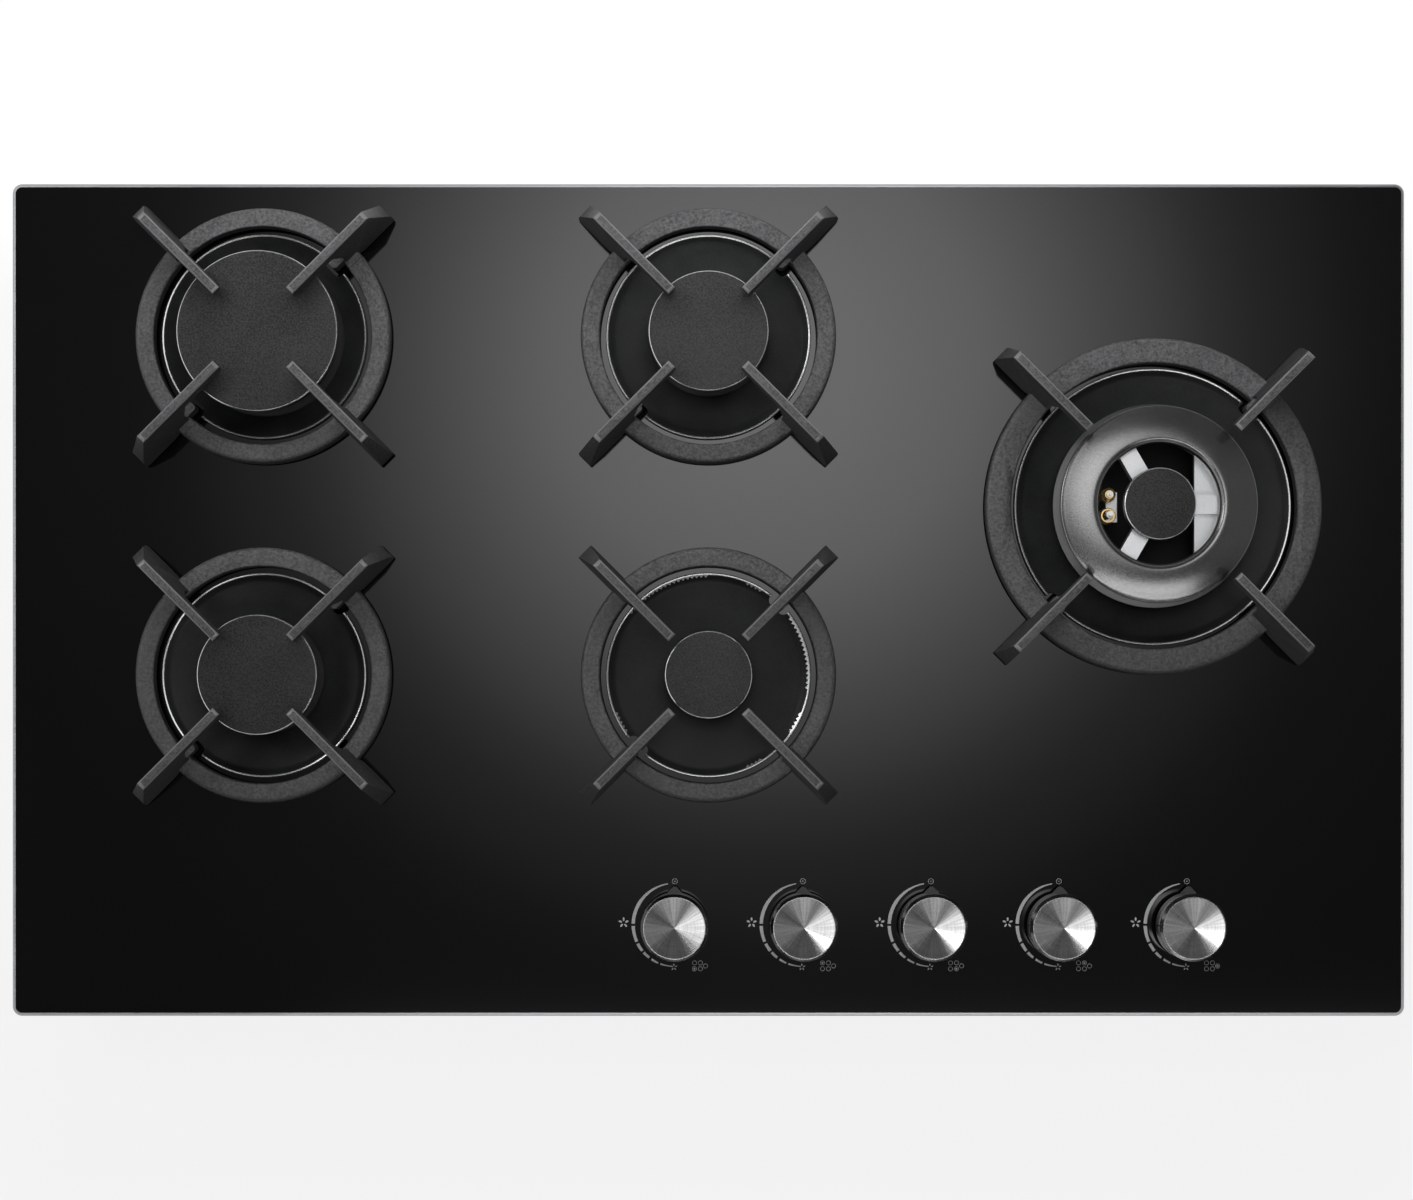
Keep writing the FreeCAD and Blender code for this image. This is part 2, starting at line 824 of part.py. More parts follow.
def probe_places(kind):
    # The spark plug stands at the left of the burner and the flame sensor beside it.
    angle = math.radians(number(size.probe_angle))
    radius = crown_radius(kind) - size.probe_gap
    if kind == "wok":
        radius = (size.wok_cap_hole + size.wok_inner_cap_radius) / 2 + size.probe_gap
        return [(radius * -math.cos(angle / 2), radius * -math.sin(angle / 2)),
                (radius * -math.cos(angle / 2), radius * math.sin(angle / 2))]
    return [(radius * -1, radius * 0), (radius * -math.cos(angle), radius * math.sin(angle))]


def make_cup(label, kind, x, y):
    body = new_body(label, x, y)
    neck = neck_radius(kind)
    crown = crown_radius(kind)
    flange = crown + size.cup_flange_reach
    flange_top = glass_top - size.dish_dip - size.dish_sheet
    flange_low = flange_top - size.dish_sheet
    outer = neck + size.cup_fit + size.cup_wall
    bore = neck + size.cup_fit
    ledge = neck - size.crown_sheet
    hollow_floor = crown_seat - size.cup_hollow
    shell_low = hollow_floor - size.cup_floor
    foot = size.cup_foot_radius
    column = size.cup_column_radius
    revolve(body, "casting", [
        (0, rail_top), (foot, rail_top), (foot, rail_top + size.cup_foot_thick),
        (column, rail_top + size.cup_foot_thick), (column, shell_low), (outer - size.cup_wall, shell_low),
        (outer, shell_low + size.cup_wall), (outer, flange_low), (flange, flange_low),
        (flange, flange_top), (bore, flange_top), (bore, crown_seat), (ledge, crown_seat),
        (ledge, hollow_floor), (0, hollow_floor)])
    holes = sketch_on(body, "foot_holes", "XY", rail_top + size.cup_foot_thick)
    for side in (-1, 1):
        add_circle(holes, size.cup_screw_offset * side, 0, screw_hole)
    pocket(body, "foot_screw_holes", holes, size.cup_foot_thick)
    probes = sketch_on(body, "probe_holes", "XY", flange_top)
    radii = (size.igniter_radius, size.sensor_radius)
    for (probe_x, probe_y), radius in zip(probe_places(kind), radii):
        add_circle(probes, probe_x, probe_y, radius)
    depth = size.dish_sheet * 4 if kind != "wok" else flange_top - shell_low + size.dish_sheet
    pocket(body, "probe_seats", probes, depth)
    return body


def notch_probes(body, kind):
    # Room for the spark plug and the flame sensor in the crown's outer face.
    sketch = sketch_on(body, "probe_notches", "XY", crown_top)
    for probe_x, probe_y in probe_places(kind):
        add_circle(sketch, probe_x, probe_y, size.igniter_radius + size.probe_gap)
    pocket(body, "probe_room", sketch)


def port_pattern(body, radius, top, side):
    # Flame ports: slots through the rim wall, open at the top where the cap closes them.
    sketch = sketch_on(body, "port_%s_outline" % side, "XY", top)
    half = size.port_width / 2
    wall = size.crown_wall
    add_outline(sketch, [(radius - wall * 1.2, -half), (radius + wall * 0.2, -half),
                         (radius + wall * 0.2, half), (radius - wall * 1.2, half)])
    slot = pocket(body, "port_" + side, sketch, size.port_depth)
    count = int(2 * math.pi * number(radius) / number(size.port_pitch))
    polar_copies(body, "ports_" + side, [slot], count)


def make_crown(name, kind, x, y):
    body = new_body(name + "_crown", x, y)
    neck = neck_radius(kind)
    rim = crown_radius(kind)
    sheet = size.crown_sheet
    tube_radius = tube_radii[kind]
    cone_low = crown_seat + size.crown_cone_low
    cone_high = crown_seat + size.crown_cone_high
    inner = rim - size.crown_wall
    tube_low = crown_seat - sheet * 2
    revolve(body, "spreader", [
        (tube_radius, tube_low), (tube_radius + sheet, tube_low), (tube_radius + sheet, cone_low - sheet),
        (neck - sheet, cone_low - sheet), (neck - sheet, crown_seat), (neck, crown_seat), (neck, cone_low),
        (rim, cone_high), (rim, crown_top), (inner, crown_top), (inner, cone_high + sheet),
        (neck - sheet / 2, cone_low + sheet), (tube_radius, cone_low + sheet)])
    port_pattern(body, rim, crown_top, "outer")
    notch_probes(body, kind)
    finish(body)


def make_cap(name, kind, x, y):
    body = new_body(name + "_cap", x, y)
    rim = cap_radii[kind]
    locator = crown_radius(kind) - size.crown_wall - size.cup_fit
    inner = locator - size.cap_locator_wall
    drop = crown_top - size.cap_locator_drop
    revolve(body, "plate", [
        (0, crown_top + size.cup_fit), (inner, crown_top + size.cup_fit), (inner, drop), (locator, drop),
        (locator, crown_top), (rim, crown_top), (rim, cap_top), (0, cap_top)])
    dress_edges(body, "shoulder", ring_edge((rim, cap_top)), size.cap_rim_round)
    dress_edges(body, "lower_rim", ring_edge((rim, crown_top)), size.cap_rim_round / 2)
    finish(body)


# The wok burner: one casting with an outer and an inner ring joined by three arms

def wok_outer_hole():
    return size.wok_cap_hole + size.cap_overhang


def make_wok_crown(name, x, y):
    body = new_body(name + "_crown", x, y)
    rim = crown_radius("wok")
    neck = neck_radius("wok")
    sheet = size.crown_sheet
    wall = size.crown_wall
    hole = wok_outer_hole()
    cone_low = crown_seat + size.crown_cone_low
    cone_high = crown_seat + size.crown_cone_high
    arm_top = crown_top - size.wok_arm_below_cap + size.wok_arm_thick
    arm_low = arm_top - size.wok_arm_thick
    channel = hole + wall
    skirt = size.wok_skirt_radius
    skirt_low = glass_top + size.wok_skirt_low
    revolve(body, "outer_ring", [
        (neck - sheet, crown_seat), (neck, crown_seat), (neck, cone_low), (skirt, skirt_low),
        (skirt, skirt_low + size.wok_skirt_thick), (rim, skirt_low + size.wok_skirt_thick + sheet / 2),
        (rim, crown_top), (rim - wall, crown_top), (rim - wall, cone_high + sheet),
        (neck, cone_low + sheet * 2), (channel, cone_low + sheet * 2), (channel, crown_top),
        (hole, crown_top), (hole, cone_low), (neck - sheet, cone_low)])
    inner_rim = size.wok_inner_cap_radius - size.cap_overhang
    tube_radius = tube_radii["wok"]
    revolve(body, "inner_ring", [
        (tube_radius, crown_seat), (tube_radius + sheet, crown_seat), (inner_rim - sheet, cone_low),
        (inner_rim, cone_high), (inner_rim, crown_top), (inner_rim - wall, crown_top),
        (inner_rim - wall, cone_high), (tube_radius, cone_low)])
    arm = sketch_on(body, "arm_outline", "XY", arm_low)
    half = size.wok_arm_width / 2
    root = inner_rim - sheet
    add_outline(arm, [(root, -half), (channel, -half), (channel, half), (root, half)])
    arm_pad = pad(body, "arm", arm, size.wok_arm_thick)
    polar_copies(body, "arms", [arm_pad], 3)
    web = sketch_on(body, "web_outline", "XY", cone_low)
    add_web_segment(web, size.wok_web_chord, hole + sheet)
    pad(body, "web", web, arm_low - cone_low + sheet / 2)
    port_pattern(body, rim, crown_top, "outer")
    port_pattern(body, hole + wall, crown_top, "middle")
    port_pattern(body, inner_rim, crown_top, "inner")
    finish(body)


def add_web_segment(sketch, chord, radius):
    # A straight chord and the arc to its right.
    half = math.sqrt(number(radius) ** 2 - number(chord) ** 2)
    angle = math.atan2(half, number(chord))
    circle = Part.Circle(vector(0, 0, 0), vector(0, 0, 1), number(radius))
    upper = vector(number(chord), half, 0)
    line = sketch.addGeometry(Part.LineSegment(upper, vector(number(chord), -half, 0)), False)
    arc = sketch.addGeometry(Part.ArcOfCircle(circle, -angle, angle), False)
    sketch.addConstraint(Sketcher.Constraint("Coincident", line, 2, arc, 1))
    sketch.addConstraint(Sketcher.Constraint("Coincident", line, 1, arc, 2))
    sketch.addConstraint(Sketcher.Constraint("Coincident", arc, 3, -1, 1))
    sketch.addConstraint(Sketcher.Constraint("Vertical", line))
    dimension(sketch, "Radius", arc, radius)
    dimension(sketch, "DistanceX", -1, 1, line, 1, chord)


def make_wok_caps(name, x, y):
    outer = new_body(name + "_outer_cap", x, y)
    rim = cap_radii["wok"]
    hole = size.wok_cap_hole
    locator = crown_radius("wok") - size.crown_wall - size.cup_fit
    inner = locator - size.cap_locator_wall
    drop = crown_top - size.cap_locator_drop
    rim_top = cap_top - size.wok_cap_fall
    revolve(outer, "plate", [
        (hole, crown_top), (inner, crown_top), (inner, drop), (locator, drop), (locator, crown_top),
        (rim, crown_top), (rim, rim_top), (hole, cap_top)])
    dress_edges(outer, "shoulder", ring_edge((rim, rim_top)), size.wok_cap_rim_round)
    dress_edges(outer, "lip", ring_edge((hole, cap_top)), size.wok_cap_lip_round)
    finish(outer)
    cap = new_body(name + "_inner_cap", x, y)
    small = size.wok_inner_cap_radius
    small_locator = small - size.cap_overhang - size.crown_wall - size.cup_fit
    small_drop = crown_top - size.cap_locator_drop
    revolve(cap, "plate", [
        (0, small_drop), (small_locator, small_drop), (small_locator, crown_top), (small, crown_top),
        (small, cap_top), (0, cap_top)])
    dress_edges(cap, "shoulder", ring_edge((small, cap_top)), size.cap_rim_round)
    finish(cap)


# Cast pan supports

def make_support(name, kind, x, y):
    body = new_body(name + "_support", x, y)
    wok = kind == "wok"
    outer = size.wok_ring_outer if wok else size.support_ring_outer
    width = size.wok_ring_width if wok else size.support_ring_width
    reach_in = size.wok_finger_inner if wok else size.finger_inner
    top_out = outer + (size.wok_finger_top_reach if wok else size.finger_top_reach)
    inner = outer - width
    toe = outer + size.leg_reach
    bevel = size.leg_toe_bevel
    brow = size.leg_brow
    under = support_top - size.finger_depth
    foot_top = glass_top + size.leg_foot_height
    side = sketch_on(body, "finger_side", "XZ")
    add_outline(side, [
        (reach_in, under + brow), (reach_in + brow / 2, under), (inner - size.finger_arch / 3, under),
        (inner + brow / 2, under - size.finger_arch), (inner + brow / 2, ring_low + brow),
        (outer - brow / 2, ring_low + brow), (outer + brow, foot_top), (toe - bevel / 2, foot_top),
        (toe, foot_top + bevel), (toe - bevel / 3, foot_top + size.leg_toe),
        (top_out, support_top - brow / 3), (top_out - brow / 2, support_top),
        (reach_in + brow / 3, support_top), (reach_in, support_top - brow / 3)])
    finger = pad(body, "finger", side, size.finger_root_width, midplane=True)
    taper = sketch_on(body, "finger_taper", "YZ", reach_in - brow)
    top_half = size.finger_top_width / 2
    root_half = size.finger_root_width / 2
    clear = size.finger_root_width
    for mirror in (-1, 1):
        add_outline(taper, [
            (top_half * mirror, support_top + brow), (clear * mirror, support_top + brow),
            (clear * mirror, glass_top), (root_half * mirror, glass_top)])
    taper_cut = pocket(body, "finger_sides", taper, upward=True)
    polar_copies(body, "fingers", [finger, taper_cut], 4)
    revolve(body, "ring", [(inner, ring_low), (outer, ring_low), (outer, ring_top, size.support_ring_round),
                           (inner, ring_top, size.support_ring_round / 3)])
    seat = sketch_on(body, "finger_pad_outline", "XY", ring_low)
    half = size.finger_pad_width / 2
    add_outline(seat, [(inner + brow / 4, -half), (outer - brow / 2, -half), (outer - brow / 2, half),
                       (inner + brow / 4, half)])
    seat_pad = pad(body, "finger_pad", seat, size.support_ring_thick + size.finger_pad_rise)
    foot = sketch_on(body, "foot_outline", "XY", glass_top)
    add_circle(foot, toe - bevel - size.leg_foot_radius, 0, size.leg_foot_radius)
    foot_pad = pad(body, "foot", foot, size.leg_foot_height + brow)
    polar_copies(body, "pads_and_feet", [seat_pad, foot_pad], 4)
    # Two of the fingers have a tab that drops into the dish's notch and keeps the support in place.
    tab = sketch_on(body, "tab_outline", "XY", glass_top + size.dish_sheet * 1.5)
    half = size.tab_width / 2
    add_outline(tab, [(inner - size.tab_reach, -half + brow / 2), (inner - size.tab_reach + brow / 2, -half),
                      (inner + brow, -half), (inner + brow, half), (inner - size.tab_reach + brow / 2, half),
                      (inner - size.tab_reach, half - brow / 2)])
    tab_pad = pad(body, "tab", tab, size.tab_height)
    polar_copies(body, "tabs", [tab_pad], 2)

    def finger_top(edge):
        bounds = edge.BoundBox
        return near(bounds.ZMin, support_top) and near(bounds.ZMax, support_top)

    dress_edges(body, "finger_bevel", finger_top, size.finger_edge_bevel, "Chamfer")
    turn_about_z(body, size.finger_turn)
    finish(body)


# Knobs, stems and gas valves

knob_top = glass_top + size.knob_height
pointer_low = glass_top + size.knob_lift
shell_low = pointer_low + size.pointer_thick
stem_top = knob_top - size.knob_wall - size.knob_face_sink
stem_low = stem_top - size.stem_depth - size.plug_length


def add_stem_outline(sketch, radius, flat):
    # A circle with one flat, which turns the plug with the knob.
    half = math.sqrt(number(radius) ** 2 - number(flat) ** 2)
    angle = math.atan2(number(flat), half)
    circle = Part.Circle(vector(0, 0, 0), vector(0, 0, 1), number(radius))
    right = vector(half, number(flat), 0)
    line = sketch.addGeometry(Part.LineSegment(right, vector(-half, number(flat), 0)), False)
    arc = sketch.addGeometry(Part.ArcOfCircle(circle, math.pi - angle, 2 * math.pi + angle), False)
    sketch.addConstraint(Sketcher.Constraint("Coincident", line, 2, arc, 1))
    sketch.addConstraint(Sketcher.Constraint("Coincident", line, 1, arc, 2))
    sketch.addConstraint(Sketcher.Constraint("Coincident", arc, 3, -1, 1))
    sketch.addConstraint(Sketcher.Constraint("Horizontal", line))
    dimension(sketch, "Radius", arc, radius)
    dimension(sketch, "DistanceY", -1, 1, line, 1, flat)


def make_knob(name, x):
    body = new_body(name + "_knob", x, knob_row)
    wall = size.knob_wall
    outer = size.knob_radius
    face = size.knob_face_radius
    sink = size.knob_face_sink
    boss = size.knob_boss_radius
    roof = knob_top - wall - sink
    points = [(0, roof), (boss, roof), (outer - wall, roof), (outer - wall, shell_low), (outer, shell_low),
              (outer, knob_top - size.knob_draft * 5), (face, knob_top), (face - size.knob_rim, knob_top),
              (face - size.knob_rim, knob_top - sink), (0, knob_top - sink)]
    revolve(body, "shell", points)
    dress_edges(body, "shoulder", ring_edge((outer, knob_top - size.knob_draft * 5)), wall)
    socket = sketch_on(body, "boss_outline", "XY", pointer_low)
    add_circle(socket, 0, 0, boss)
    pad(body, "boss", socket, roof - pointer_low + wall / 2)
    bore = sketch_on(body, "socket_outline", "XY", pointer_low)
    add_stem_outline(bore, size.stem_radius + size.stem_fit, size.stem_flat + size.stem_fit)
    pocket(body, "socket", bore, stem_top - pointer_low, upward=True)
    finish(body)


def make_pointer(name, x):
    body = new_body(name + "_pointer", x, knob_row)
    disc = sketch_on(body, "disc_outline", "XY", pointer_low)
    add_circle(disc, 0, 0, size.pointer_radius)
    add_circle(disc, 0, 0, size.knob_boss_radius + size.stem_fit)
    pad(body, "disc", disc, size.pointer_thick)
    tip = sketch_on(body, "pointer_outline", "XY", pointer_low)
    base = size.pointer_radius - size.pointer_half_width / 2
    add_outline(tip, [(-size.pointer_half_width, base), (size.pointer_half_width, base),
                      (0, size.pointer_reach + size.pointer_round / 2)])
    pad(body, "tip", tip, size.pointer_thick)
    limit = number(size.pointer_reach)

    def tip_edge(edge):
        bounds = edge.BoundBox
        return near(bounds.YLength, 0) and near(bounds.XLength, 0) and bounds.YMin > limit

    dress_edges(body, "tip_rounding", tip_edge, size.pointer_round)
    finish(body)


def make_stem(name, x):
    body = new_body(name + "_stem", x, knob_row)
    outline = sketch_on(body, "stem_outline", "XY", stem_low)
    add_stem_outline(outline, size.stem_radius, size.stem_flat)
    pad(body, "shaft", outline, stem_top - stem_low)
    finish(body)


def make_plug(name, x):
    body = new_body(name + "_plug", x, knob_row)
    outline = sketch_on(body, "plug_outline", "XY", valve_floor + size.valve_cover_thick)
    add_circle(outline, 0, 0, size.plug_radius)
    plug_high = size.valve_top - size.valve_cover_thick / 2
    pad(body, "plug", outline, plug_high - valve_floor - size.valve_cover_thick)
    socket = sketch_on(body, "socket_outline", "XY", stem_low - size.knob_push - size.stem_fit * 10)
    add_stem_outline(socket, size.stem_radius + size.stem_fit, size.stem_flat + size.stem_fit)
    pocket(body, "stem_socket", socket, upward=True)
    finish(body)


def make_valve_bodies():
    valves = []
    for index in range(len(knob_burners)):
        x = knob_place(index)
        y = knob_row
        label = "valve_%d" % (index + 1)
        block = box(label + "_block", size.valve_width, size.valve_length, size.manifold_height,
                    size.valve_top, x, y)
        bore = cylinder(label + "_bore", size.plug_radius + size.plug_fit,
                        valve_floor + size.valve_cover_thick, size.valve_top, x, y)
        saddle = document.addObject("Part::Cylinder", label + "_saddle")
        bind(saddle, "Radius", size.manifold_radius)
        bind(saddle, "Height", size.valve_width)
        saddle.Placement = FreeCAD.Placement(vector(0, 0, 0), FreeCAD.Rotation(vector(0, 1, 0), 90))
        place_at(saddle, x - size.valve_width / 2, y, size.manifold_height)
        port = document.addObject("Part::Cylinder", label + "_port")
        bind(port, "Radius", size.pipe_radius)
        bind(port, "Height", size.plug_radius)
        port.Placement = FreeCAD.Placement(vector(0, 0, 0), FreeCAD.Rotation(vector(1, 0, 0), -90))
        place_at(port, x, y + size.valve_length / 2 - size.plug_radius, size.pipe_height)
        feed = cylinder(label + "_feed", size.inlet_bore / 2, size.manifold_height,
                        valve_floor + size.valve_cover_thick, x, y)
        hollow = fused(label + "_hollow", [bore, saddle, port, feed])
        valves.append(cut(label + "_body", block, hollow))
        plate = box(label + "_plate", size.valve_width, size.valve_length, size.valve_top,
                    size.valve_top + size.valve_cover_thick, x, y)
        hole = cylinder(label + "_stem_hole", size.stem_radius + size.stem_fit * 6, size.valve_top,
                        size.valve_top + size.valve_cover_thick, x, y)
        valves.append(cut(label + "_cover", plate, hole))
    grouped("valve_bodies", valves)


# Gas manifold, inlet and pipes

def inlet_x():
    return case_half_x - size.inlet_recess_x / 2


def inlet_y():
    return case_half_y - size.inlet_recess_y / 2


def make_manifold():
    start = knob_place(0) - size.manifold_end
    y = knob_row
    z = size.manifold_height
    stop = inlet_y() - size.inlet_block
    points = [(start, y, z), (inlet_x(), y, z), (inlet_x(), stop, z)]
    finish(shaped("gas_manifold", tube(points, size.manifold_bend, size.manifold_radius, size.manifold_wall)))


def make_inlet():
    x = inlet_x()
    y = inlet_y()
    block_top = size.manifold_height + size.inlet_block
    block_low = size.manifold_height - size.manifold_radius
    thread_low = case_floor
    block = box("inlet_block", size.inlet_block * 2, size.inlet_block * 2, block_low, block_top, x, y)
    thread = cylinder("inlet_thread", size.inlet_radius, thread_low, block_low, x, y)
    body = fused("inlet_body", [block, thread])
    bore = cylinder("inlet_bore", size.inlet_bore, thread_low, size.manifold_height, x, y)
    finish(cut("inlet_elbow", body, bore))


def cup_side(kind):
    return neck_radius(kind) + size.cup_fit + size.cup_wall


def make_pipes():
    z = size.pipe_height
    start_y = knob_row + size.valve_length / 2
    left = -size.column_pitch
    right = size.column_pitch
    front = size.front_row
    rear = size.rear_row
    first_corner = start_y + size.pipe_first_row
    second_corner = first_corner + size.pipe_second_row
    beside_burner = left + size.pipe_burner_gap
    beside_wok = right - cup_side("wok") - size.pipe_wok_gap
    routes = {
        "front_left": [(knob_place(0), start_y), (knob_place(0), first_corner), (beside_burner, first_corner),
                       (beside_burner, front), (left + cup_side("semi_rapid"), front)],
        "rear_left": [(knob_place(1), start_y), (knob_place(1), second_corner), (left / 2, second_corner),
                      (left / 2, rear), (left + cup_side("rapid"), rear)],
        "front_middle": [(knob_place(2), start_y), (knob_place(2), front), (cup_side("auxiliary"), front)],
        "rear_middle": [(knob_place(3), start_y), (knob_place(3), second_corner),
                        (beside_wok, second_corner + size.pipe_slant), (beside_wok, rear),
                        (cup_side("semi_rapid"), rear)],
        "wok": [(knob_place(4), start_y), (knob_place(4), first_corner),
                (right, first_corner + size.pipe_slant), (right, size.wok_row - cup_side("wok"))],
    }
    pipes = []
    for name, route in routes.items():
        points = [(x, y, z) for x, y in route]
        pipes.append(shaped("pipe_" + name, tube(points, size.pipe_bend, size.pipe_radius, size.pipe_wall)))
    grouped("gas_pipes", pipes)


# Rails, screws, jets, ignition and flame sensors

def columns():
    return [-size.column_pitch, size.column_pitch * 0, size.column_pitch]


def rail_screw_places():
    offset = size.rail_top_width / 2 + size.rail_flange / 2
    y = rail_half_length - size.rail_screw_inset
    sides = [(x_side, y_side) for x_side in (-1, 1) for y_side in (-1, 1)]
    return [(column + offset * x_side, y * y_side) for column in columns() for x_side, y_side in sides]


def make_rails():
    rails = []
    for index, column in enumerate(columns(), 1):
        body = new_body("rail_%d" % index)
        section = sketch_on(body, "hat_section", "XZ")
        top = size.rail_top_width / 2
        sheet = size.rail_sheet
        low = case_floor_top
        reach = top + size.rail_flange
        add_outline(section, [
            (column - reach, low), (column - top + sheet, low), (column - top + sheet, rail_top - sheet),
            (column + top - sheet, rail_top - sheet), (column + top - sheet, low), (column + reach, low),
            (column + reach, low + sheet), (column + top, low + sheet), (column + top, rail_top),
            (column - top, rail_top), (column - top, low + sheet), (column - reach, low + sheet)])
        pad(body, "hat", section, rail_half_length * 2, midplane=True)
        holes = sketch_on(body, "hat_holes", "XY", rail_top)
        for x, y in rail_screw_places():
            if near(abs(number(x) - number(column)), top + size.rail_flange / 2):
                add_circle(holes, x, y, screw_hole)
        for x, y in burner_places.values():
            if near(x if x is not None else 0, column):
                for side in (-1, 1):
                    add_circle(holes, column + size.cup_screw_offset * side, y, screw_hole)
        pocket(body, "screw_holes", holes)
        rails.append(body)
    grouped("burner_rails", rails)


def screw(label, x, y, seat, end):
    shank = cylinder(label + "_shank", size.screw_radius, end, seat, x, y)
    head = cylinder(label + "_head", size.screw_head_radius, seat, seat + size.screw_head_height, x, y)
    return fused(label, [shank, head])


def make_screws():
    screws = []
    for index, (x, y) in enumerate(rail_screw_places(), 1):
        screws.append(screw("rail_screw_%d" % index, x, y, case_floor_top + size.rail_sheet, case_floor))
    for name, (x, y) in burner_places.items():
        for side, word in ((-1, "left"), (1, "right")):
            offset = size.cup_screw_offset * side
            place = offset if x is None else x + offset
            seat = rail_top + size.cup_foot_thick
            end = rail_top - size.rail_sheet * 2
            screws.append(screw("%s_cup_screw_%s" % (name, word), place, y, seat, end))
    grouped("screws", screws)


def make_jets():
    jets = []
    floor = crown_seat - size.cup_hollow
    for name, (x, y) in burner_places.items():
        barrel = cylinder(name + "_jet_barrel", size.jet_radius, floor, floor + size.jet_height, x, y)
        bore = cylinder(name + "_jet_bore", size.jet_bore, floor, floor + size.jet_height, x, y)
        jets.append(cut(name + "_jet", barrel, bore))
    grouped("gas_jets", jets)


def probe_centre(name, order):
    x, y = burner_places[name]
    probe_x, probe_y = probe_places(burner_kinds[name])[order]
    return (probe_x if x is None else x + probe_x), y + probe_y


def probe_low():
    return crown_seat - size.cup_hollow - size.cup_floor - size.dish_sheet


def make_probe(name, label, order, radius):
    x, y = probe_centre(name, order)
    shoulder = crown_top - size.probe_gap - size.probe_tip_height
    barrel = cylinder("%s_%s_barrel" % (name, label), radius, probe_low(), shoulder, x, y)
    tip_top = crown_top - size.probe_gap
    tip = cylinder("%s_%s_tip" % (name, label), size.probe_tip_radius, shoulder, tip_top, x, y)
    return fused("%s_%s" % (name, label), [barrel, tip])


def lead(label, points):
    return shaped(label, tube(points, size.lead_bend, size.lead_radius, None, size.lead_rise_bend))


def make_ignition():
    module_top = case_floor_top + size.module_height
    module = box("module_case", size.module_width, size.module_length, case_floor_top, module_top,
                 module_x, module_y)
    finish(module, "ignition_module")
    grouped("igniters", [make_probe(name, "igniter", 0, size.igniter_radius) for name in burner_places])
    back = module_y + size.module_length / 2
    # Height of each lead's run to the right, from the leftmost socket to the rightmost one.
    turns = {
        "rear_left": size.rear_row,
        "rear_middle": size.wok_row,
        "front_left": size.front_row,
        "front_middle": back + size.lead_second_row,
        "wok": back + size.lead_front_row,
    }
    leads = []
    for order, (name, turn_y) in enumerate(turns.items()):
        x = module_x + size.lead_pitch * (order - 2)
        end_x, end_y = probe_centre(name, 0)
        route = [(x, back), (x, turn_y), (end_x, turn_y)]
        if name not in ("rear_left", "front_left"):
            route.append((end_x, end_y))
        points = [(point_x, point_y, size.lead_height) for point_x, point_y in route]
        points.append((end_x, end_y, probe_low()))
        leads.append(lead("lead_" + name, points))
    grouped("ignition_leads", leads)


def make_thermocouples():
    z = size.sensor_lead_height
    pieces = []
    near_front = size.front_row - size.sensor_front_row
    behind_front = near_front + size.sensor_second_row
    # For each lead the Y of its run to the right, or that, the X of its next turn and the next run's Y.
    routes = {
        "front_left": [near_front],
        "rear_left": [size.rear_row - size.sensor_rear_row, -size.sensor_column, behind_front],
        "front_middle": [near_front + size.sensor_third_row],
        "rear_middle": [size.rear_row - size.sensor_middle_row],
        "wok": [size.wok_row - size.sensor_wok_row],
    }
    for index, name in enumerate(knob_burners):
        pieces.append(make_probe(name, "sensor", 1, size.sensor_radius))
        start_x, start_y = probe_centre(name, 1)
        end_x = knob_place(index) + size.sensor_socket_offset
        socket_y = knob_row + size.valve_length / 2
        turns = routes[name]
        route = [(start_x, turns[0])]
        if len(turns) == 3:
            route.extend([(turns[1], turns[0]), (turns[1], turns[2]), (end_x, turns[2])])
        else:
            route.append((end_x, turns[0]))
        route.append((end_x, socket_y + size.lead_bend * 3))
        points = [(end_x, socket_y, size.sensor_socket_height),
                  (end_x, socket_y + size.lead_bend * 1.6, size.sensor_socket_height)]
        points.extend([(x, y, z) for x, y in reversed(route)])
        points.extend([(start_x, start_y, z), (start_x, start_y, probe_low())])
        pieces.append(lead("sensor_lead_" + name, points))
    grouped("thermocouples", pieces)


make_glass_top()
make_edge_trim()
make_worktop_seal()
make_bottom_case()
semi_rapid_cups = []
for burner, (place_x, place_y) in burner_places.items():
    burner_kind = burner_kinds[burner]
    make_dish(burner, burner_kind, place_x, place_y)
    make_support(burner, burner_kind, place_x, place_y)
    cup = make_cup(burner + "_cup", burner_kind, place_x, place_y)
    if burner_kind == "semi_rapid":
        semi_rapid_cups.append(cup)
    else:
        finish(cup)
    if burner_kind == "wok":
        make_wok_crown(burner, place_x, place_y)
        make_wok_caps(burner, place_x, place_y)
    else:
        make_crown(burner, burner_kind, place_x, place_y)
        make_cap(burner, burner_kind, place_x, place_y)
grouped("semi_rapid_cups", semi_rapid_cups)
for knob_index, burner in enumerate(knob_burners):
    make_knob(burner, knob_place(knob_index))
    make_pointer(burner, knob_place(knob_index))
    make_stem(burner, knob_place(knob_index))
    make_plug(burner, knob_place(knob_index))
make_valve_bodies()
make_manifold()
make_inlet()
make_pipes()
make_rails()
make_screws()
make_jets()
make_ignition()
make_thermocouples()

document.recompute()
faults = [item.Label for item in document.Objects if "Invalid" in item.State or "Error" in item.State]
if faults:
    raise ValueError("objects that failed: %s" % ", ".join(faults))
for part in sub_parts:
    if part.Shape.isNull() or not part.Shape.isValid():
        raise ValueError("bad shape: " + part.Label)

